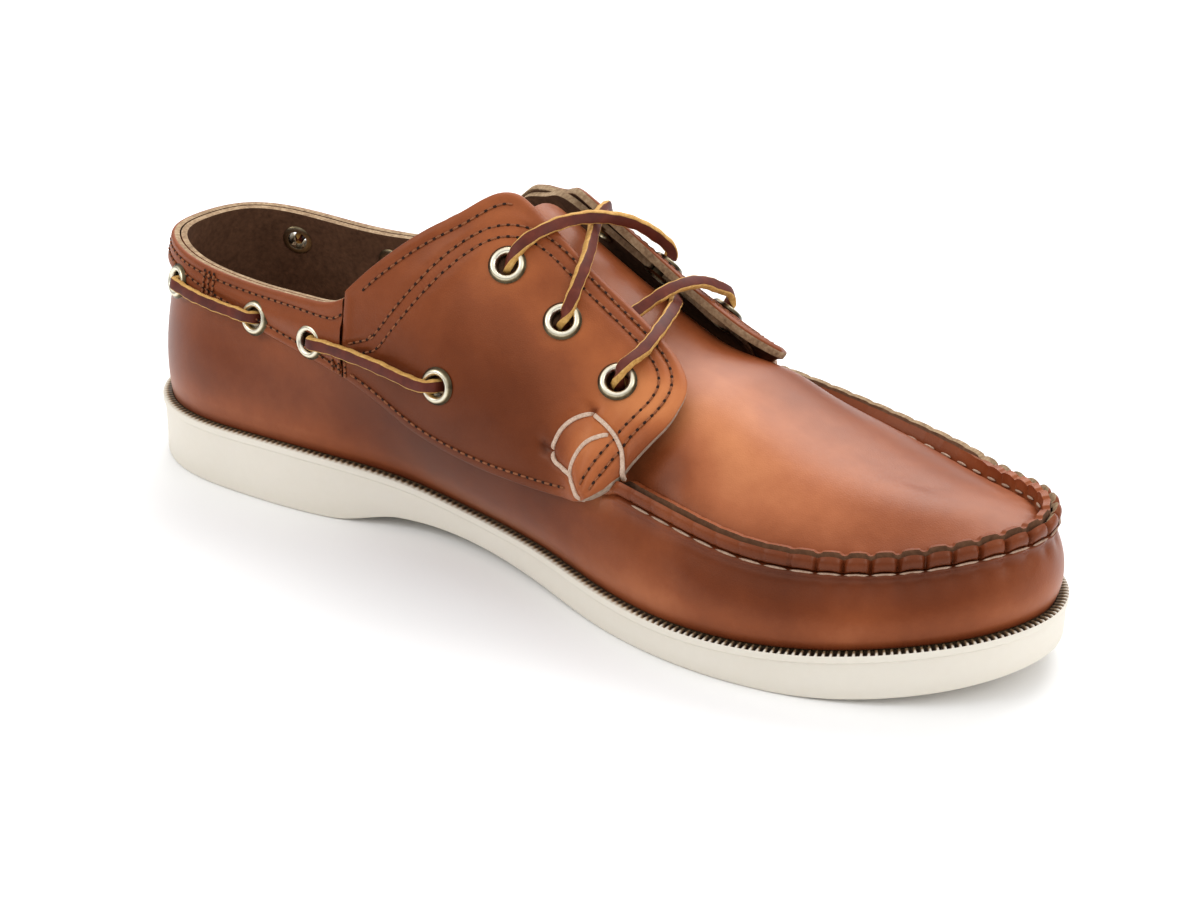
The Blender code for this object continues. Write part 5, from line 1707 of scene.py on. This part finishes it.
IN_HOLE = OVERLAY_HIGH - SHANK_DEPTH
OVER_HOLE = 0.0012


def out_of_hole(side, number):
    """A lace's first two points: inside a front eyelet, and just over it."""
    share, v = FRONT_EYELETS[number - 1]
    return [at_surface(side, share, v, IN_HOLE), at_surface(side, share, v, OVER_HOLE)]


def into_hole(side, number):
    """A lace's last two points."""
    return out_of_hole(side, number)[::-1]


def mm(*values):
    """A point given in millimetres."""
    return np.array(values) * MM


front_medial = out_of_hole(MEDIAL, 1) + [
    mm(182.3, -27.6, 67.6), mm(184.2, -22.8, 70.4), mm(184.2, -15.0, 73.0), mm(181.6, -3.5, 75.0),
    mm(176.5, 8.0, 74.2), mm(172.0, 15.5, 72.3), mm(169.5, 21.5, 69.3),
]
front_lateral = out_of_hole(LATERAL, 1) + [
    mm(181.8, 29.0, 70.6), mm(181.0, 24.0, 74.6), mm(179.6, 16.8, 78.0), mm(177.6, 8.0, 79.2),
    mm(175.2, 0.6, 77.6), mm(172.4, -6.0, 74.6), mm(170.0, -13.0, 72.6), mm(168.0, -20.0, 70.0),
]
top_medial = out_of_hole(MEDIAL, 2) + [
    mm(162.6, -23.6, 79.0), mm(162.7, -21.0, 82.9), mm(161.7, -16.4, 86.4), mm(159.5, -10.2, 89.2),
    mm(154.1, 0.4, 91.6), mm(149.8, 8.8, 92.9), mm(146.2, 17.7, 92.6), mm(144.2, 23.0, 91.0),
] + into_hole(LATERAL, 3)
top_lateral = out_of_hole(MEDIAL, 3) + [
    mm(144.8, -21.1, 91.7), mm(147.8, -16.2, 95.2), mm(150.4, -9.0, 96.6), mm(152.9, -0.2, 96.2),
    mm(155.6, 8.4, 94.2), mm(158.8, 16.2, 90.8), mm(161.6, 23.0, 85.6), mm(163.2, 26.6, 80.6),
] + into_hole(LATERAL, 2)


def turned_width(path, angles):
    """Width directions that stand upright at 0 degrees and lean over at the angles along the path."""
    path = np.array(path)
    tangent = np.gradient(path, axis=0)
    tangent /= np.linalg.norm(tangent, axis=1, keepdims=True)
    upright = UP - tangent * (tangent @ UP)[:, None]
    upright /= np.linalg.norm(upright, axis=1, keepdims=True)
    sideways = np.cross(tangent, upright)
    angle = np.radians(np.interp(np.linspace(0, 1, len(path)), np.linspace(0, 1, len(angles)), angles))
    return upright * np.cos(angle)[:, None] + sideways * np.sin(angle)[:, None]


# Each lace's path, its tilt in degrees along the path, and the nodes it stands for
LACES = [
    ("lace_front_medial", front_medial, (-75, -75, -65, -50, -20), ["lace_cross_front"]),
    ("lace_front_lateral", front_lateral, (20, 35, 50, 50, 40), []),
    ("lace_top_medial", top_medial, (-60, -60, -50, -40, -30, -10, 10), ["lace_cross_top"]),
    ("lace_top_lateral", top_lateral, (-60, -45, -10, 25, 32, 20), []),
]


def lace(name, path, wide, samples, nodes):
    """One length of the rawhide lace."""
    strand = swept(name, path, wide, LACE_WIDTH, LACE_THICKNESS, [lace_face, lace_edge], samples)
    finish_piece(strand, nodes)


for name, path, tilts, nodes in LACES:
    lace(name, path, turned_width(path, tilts), 120, nodes)

# Side lacing: shares of each run at which its lace is guided, and its height over the leather
RUN_SHARES = (0.035, 0.12, 0.3, 0.5, 0.7, 0.88, 0.965)
RUN_SAG = 0.0006
RUN_OUTSIDE = OVERLAY_HIGH + 0.0021
RUN_INSIDE = -WALL - 0.0016
INSIDE_END = OVERLAY_HIGH - 0.0012
SIDE_RUNS = (("front", 0, 1, True), ("middle", 1, 2, False), ("back", 2, 3, True))


def side_path(side, first, second, outside):
    """Length of lace between two side eyelets, on the outside or the inside of the collar."""
    (s0, v0), (s1, v1) = first, second
    height = RUN_OUTSIDE if outside else RUN_INSIDE
    end = IN_HOLE if outside else INSIDE_END
    path = [at_surface(side, s0, v0, end)]
    for f in RUN_SHARES:
        sag = RUN_SAG * np.sin(pi * f) * (1 if outside else -1)
        path.append(at_surface(side, s0 + (s1 - s0) * f, v0 + (v1 - v0) * f, height + sag))
    path.append(at_surface(side, s1, v1, end))
    wide = []
    for f in np.linspace(0, 1, len(path)):
        n = surface_normal(np.array(station(side, s0 + (s1 - s0) * f)), np.array(v0 + (v1 - v0) * f))
        wide.append(np.cross(n, path[-1] - path[0]) * -side)
    return path, wide


for side, word in SIDES:
    for end, first, second, outside in SIDE_RUNS:
        path, wide = side_path(side, SIDE_EYELETS[first], SIDE_EYELETS[second], outside)
        nodes = ["lace_side_" + word + "_" + end] if outside else []
        lace("lace_run_" + word + "_" + end, path, wide, 90, nodes)

# Stitches: one made, and copied along each row
bpy.ops.mesh.primitive_uv_sphere_add(segments=8, ring_count=6, radius=1.0)
bead = bpy.context.active_object
bead_points = np.array([tuple(vertex.co) for vertex in bead.data.vertices])
bead_faces = [tuple(face.vertices) for face in bead.data.polygons]
bpy.data.objects.remove(bead)


def copies(name, centres, along, normal, sizes, material):
    """One joined mesh of the bead, set at each centre, turned and stretched to sizes."""
    along = along / np.linalg.norm(along, axis=1, keepdims=True)
    across = np.cross(normal, along)
    across = across / np.linalg.norm(across, axis=1, keepdims=True)
    up = np.cross(along, across)
    stretched = bead_points * np.array(sizes)
    points = (centres[:, None, :] + stretched[None, :, :1] * along[:, None, :]
              + stretched[None, :, 1:2] * across[:, None, :] + stretched[None, :, 2:] * up[:, None, :])
    count = len(bead_points)
    faces = [tuple(corner + k * count for corner in face)
             for k in range(len(centres)) for face in bead_faces]
    mesh = bpy.data.meshes.new(name)
    mesh.from_pydata([tuple(point) for point in place(points.reshape(-1, 3))], [], faces)
    mesh.materials.append(material)
    piece = bpy.data.objects.new(name, mesh)
    bpy.context.scene.collection.objects.link(piece)
    return finish_piece(piece, (), 80)


def along_line(points, normals, pitch, start=0.5):
    """Places at an even pitch along a line, with directions and normals."""
    d = run_along(points)
    at = np.arange(start * pitch, d[-1], pitch)

    def picked(table):
        return np.stack([np.interp(at, d, table[:, k]) for k in range(3)], axis=1)

    return picked(points), picked(np.gradient(points, axis=0)), picked(normals)


def sew(name, lines, pitch, size, material):
    """Machine or hand row: threads, and a dark bead of painted needle-hole shade between each two."""
    length, thick = size
    for kind, start, half_sizes, used in (("thread", 0.5, (length / 2, thick / 2, thick / 2), material),
                                          ("hole", 1.0, NEEDLE_HOLE_SHADE, needle_hole_shade)):
        runs = [along_line(points, normals, pitch, start) for points, normals in lines]
        centres, along, normal = (np.concatenate(parts) for parts in zip(*runs))
        copies(name + "_" + kind, centres, along, normal, half_sizes, used)


# Sizes of the stitches: half sizes of the dark bead of painted shade for a needle hole, then pitch,
# and length and thickness of a thread
NEEDLE_HOLE_SHADE = (0.00068, 0.00040, 0.00014)
ROW_PITCH = 0.0027
ROW_THREAD = (0.0021, 0.00062)
BOX_PITCH = 0.0017
BOX_THREAD = (0.0015, 0.0008)
THREAD_LIFT = 0.0002

# Rows of the saddle: one along its low edge, one along its edge at the collar, and the double row
LOW_INSET = 0.0026
TOP_INSET = 0.0036
LOW_CORNER = (0.610, 0.800)
REAR_CORNER = (0.452, 1.830)


def on_saddle(side, line):
    """Points and normals along a line of (share, place up the surface), on the saddle's face."""
    t = station(side, line[:, 0])
    body = surface(t, line[:, 1])
    n = surface_normal(t, line[:, 1])
    return body + n * (saddle_height(side, body) + THREAD_LIFT)[:, None], n


for side, word in SIDES:
    border = saddle_borders[side]
    corner = [np.argmin(np.linalg.norm((border - at) * (LENGTH, SURFACE_SPAN), axis=1))
              for at in on_side(side, [SADDLE[0], LOW_CORNER, REAR_CORNER, SADDLE[-1]])]
    low_edge = softened(border[corner[0] + 4:corner[1] - 14], 6)
    top_edge = softened(border[corner[2]:corner[3] - 8], 10)
    rows = [softened(inset(side, low_edge, LOW_INSET), 12), softened(inset(side, top_edge, TOP_INSET), 12)]
    lines = [on_saddle(side, row) for row in rows + saddle_rows[side]]
    sew("stitch_saddle_" + word, lines, ROW_PITCH, ROW_THREAD, thread_tan)

# Stitches of the collar band, one row along each edge
BAND_ROW_INSET = 0.0028
BAND_ROW_LIFT = 0.0003
band_share = share_of(band_t)
band_low = band_low_at(band_share)
band_high = topline_at(band_share)
band_inset = (band_high - band_low) * BAND_ROW_INSET / band_width(band_t, band_low, band_high)


def band_line(v):
    """Points and normals along the band's face at a place up the surface."""
    n = surface_normal(band_t, v)
    body = surface(band_t, v)
    return body + n * (OVERLAY_HIGH + BAND_ROW_LIFT + creased(body) * BAND_CREASE)[:, None], n


band_lines = [band_line(band_low + band_inset), band_line(band_high - band_inset)]
sew("stitch_band", band_lines, ROW_PITCH, ROW_THREAD, thread_tan)

# Box stitches on the joint of band and saddle and beside the rear eyelets: share, low and high end
BOXES = ((0.313, 0.665, 0.80), (0.128, 0.82, 0.97))
BOX_APART = 0.0022
BOX_LIFT = 0.0007
box_lines = []
for side, word in SIDES:
    for share, v_low, v_high in BOXES:
        for offset in (-BOX_APART, 0.0, BOX_APART):
            v = np.linspace(v_low, v_high, 12)
            t = station(side, np.full(12, share + offset / LENGTH))
            n = surface_normal(t, v)
            box_lines.append((surface(t, v) + n * (OVERLAY_HIGH + BOX_LIFT), n))
sew("stitch_box", box_lines, BOX_PITCH, BOX_THREAD, thread_tan)

# Threads of the moccasin seam: distance out of the lip and above its foot, length and half thickness
SEAM_THREADS = (
    ("stitch_seam_outer", LIP_OUT + 0.0004, -0.0001, 0.0062, 0.00034),
    ("stitch_seam_inner", -PLUG_THICKNESS - GAP / 2 - 0.0004, 0.0010, 0.0038, 0.00038),
)
at_slot = np.arange(0.5, SEAM_LENGTH / STITCH_PITCH) * STITCH_PITCH
slot_t = np.interp(at_slot, seam_s, seam_t)
slot_t = slot_t[share_of(slot_t) > LIP_FULL]
mid_t = np.interp(np.interp(slot_t, seam_t, seam_s) + STITCH_PITCH / 2, seam_s, seam_t)
for name, out, rise, length, thick in SEAM_THREADS:
    n = outward(mid_t)
    step = T_END * 1e-4
    along = surface(mid_t + step, 1.0) - surface(mid_t - step, 1.0)
    centres = surface(mid_t, 1.0) + n * out + UP * rise
    copies(name, centres, along, n * np.sign(out), (length / 2, thick, thick), thread_seam)

# Threads of the hand-sewn tabs, whose ends go down into the leather
THREAD_END_SINK = 0.0025
for side, word in SIDES:
    for number, (curve, line) in enumerate(tab_threads[side], 1):
        n = surface_normal(station(side, curve[:, 0]), curve[:, 1])
        height = saddle_height(side, line) + THREAD_RADIUS * 0.4
        height[[0, -1]] -= THREAD_END_SINK
        path = line + n * height[:, None]
        thread = swept("tab_thread_" + word + "_" + str(number), path[::3], n[::3], 2 * THREAD_RADIUS,
                       2 * THREAD_RADIUS, [thread_cream], 60)
        finish_piece(thread)

# Stitches in the groove under the sole
SOLE_STITCH_PITCH = 0.0052
SOLE_STITCH = (0.0021, 0.00055, 0.0004)
SOLE_STITCH_DROP = 0.0003
groove_t = even_t(0, T_END, 1200)
groove_xy = outline_at(groove_t) - outward(groove_t)[:, :2] * (GROOVE_INSET + GROOVE_WIDTH / 2)
groove_z = sole_bottom(groove_xy[:, 0] / LENGTH) + GROOVE_DEPTH - SOLE_STITCH_DROP
groove_line = lift(groove_xy, groove_z)
groove_down = np.tile(-UP, (len(groove_line), 1))
centres, along, normal = along_line(groove_line, groove_down, SOLE_STITCH_PITCH)
copies("stitch_sole", centres, along, normal, SOLE_STITCH, thread_cream)

# Floor, light and camera
bpy.ops.mesh.primitive_plane_add(size=8.0, location=(0.0, 0.0, 0.0))
floor = bpy.context.active_object
floor.name = "floor"
floor_material, _, floor_shader = material_start("Pale floor", 0.6)
floor_shader.inputs["Base Color"].default_value = (0.90, 0.90, 0.90, 1.0)
floor.data.materials.append(floor_material)

# The studio is dark near the horizon and light overhead, and white where the camera sees it
SKY_DARK_BELOW = 0.05
SKY_LIGHT_ABOVE = 0.65
SKY_DARK = 0.18
SKY_LIGHT = 1.15
SKY_SEEN = 0.95
bpy.context.scene.view_settings.view_transform = "Standard"
world = bpy.data.worlds.new("Studio")
bpy.context.scene.world = world
world.use_nodes = True
world_tree = world.node_tree
background = world_tree.nodes["Background"]
background.inputs["Color"].default_value = (1.0, 1.0, 1.0, 1.0)
sky_place = world_tree.nodes.new("ShaderNodeTexCoord")
sky_parts = world_tree.nodes.new("ShaderNodeSeparateXYZ")
world_tree.links.new(sky_place.outputs["Generated"], sky_parts.inputs[0])
sky = node(world_tree, "ShaderNodeMapRange", interpolation_type="SMOOTHSTEP",
           in_From_Min=SKY_DARK_BELOW, in_From_Max=SKY_LIGHT_ABOVE,
           in_To_Min=SKY_DARK, in_To_Max=SKY_LIGHT)
world_tree.links.new(sky_parts.outputs["Z"], sky.inputs["Value"])
light_path = world_tree.nodes.new("ShaderNodeLightPath")
seen = maths(world_tree, "MULTIPLY", light_path.outputs["Is Camera Ray"], SKY_SEEN)
strength = maths(world_tree, "MAXIMUM", seen, sky.outputs["Result"])
world_tree.links.new(strength, background.inputs["Strength"])


def area_light(name, location, target, size, power):
    """Soft rectangular light that looks at a point."""
    light = bpy.data.lights.new(name, "AREA")
    light.shape = "RECTANGLE"
    light.size, light.size_y = size
    light.energy = power
    lamp = bpy.data.objects.new(name, light)
    lamp.location = location
    lamp.rotation_euler = (Vector(target) - Vector(location)).to_track_quat("-Z", "Y").to_euler()
    bpy.context.scene.collection.objects.link(lamp)


area_light("Overhead softbox", (-0.25, 0.85, 0.95), (0.0, 0.0, 0.03), (1.2, 0.9), 13.0)
area_light("Left softbox", (-0.60, -0.75, 0.70), (0.0, 0.0, 0.03), (0.5, 0.5), 2.5)
area_light("Right softbox", (1.00, 0.10, 0.55), (0.05, 0.0, 0.03), (0.5, 0.5), 2.5)

# Camera: the photograph's own place and tilt in design coordinates, turned to the one shoe
PHOTO_WIDTH = 1200
CAMERA_PLACE = np.array([0.46595, -0.46457, 0.27711])
PHOTO_FORWARD = np.array([-0.61835, 0.69947, -0.35832])
PHOTO_RIGHT = np.array([0.75879, 0.65008, -0.04042])
AIM = np.array([0.160, -0.004, 0.030])
FOCAL_LENGTH_PX = 2150
SENSOR = 36.0
camera_data = bpy.data.cameras.new("Camera")
camera_data.sensor_width = SENSOR
camera_data.lens = FOCAL_LENGTH_PX / PHOTO_WIDTH * SENSOR
camera_data.clip_start = 0.01
camera = bpy.data.objects.new("Camera", camera_data)
bpy.context.scene.collection.objects.link(camera)
forward = AIM - CAMERA_PLACE
forward /= np.linalg.norm(forward)
turn = Vector(PHOTO_FORWARD).rotation_difference(Vector(forward))
right = turn @ Vector(PHOTO_RIGHT)
ahead = Vector(forward)
right = (right - ahead * right.dot(ahead)).normalized()
above = right.cross(ahead)
camera.matrix_world = Matrix.Translation(Vector(place(CAMERA_PLACE))) @ Matrix(
    (right, above, -ahead)).transposed().to_4x4()
bpy.context.scene.camera = camera
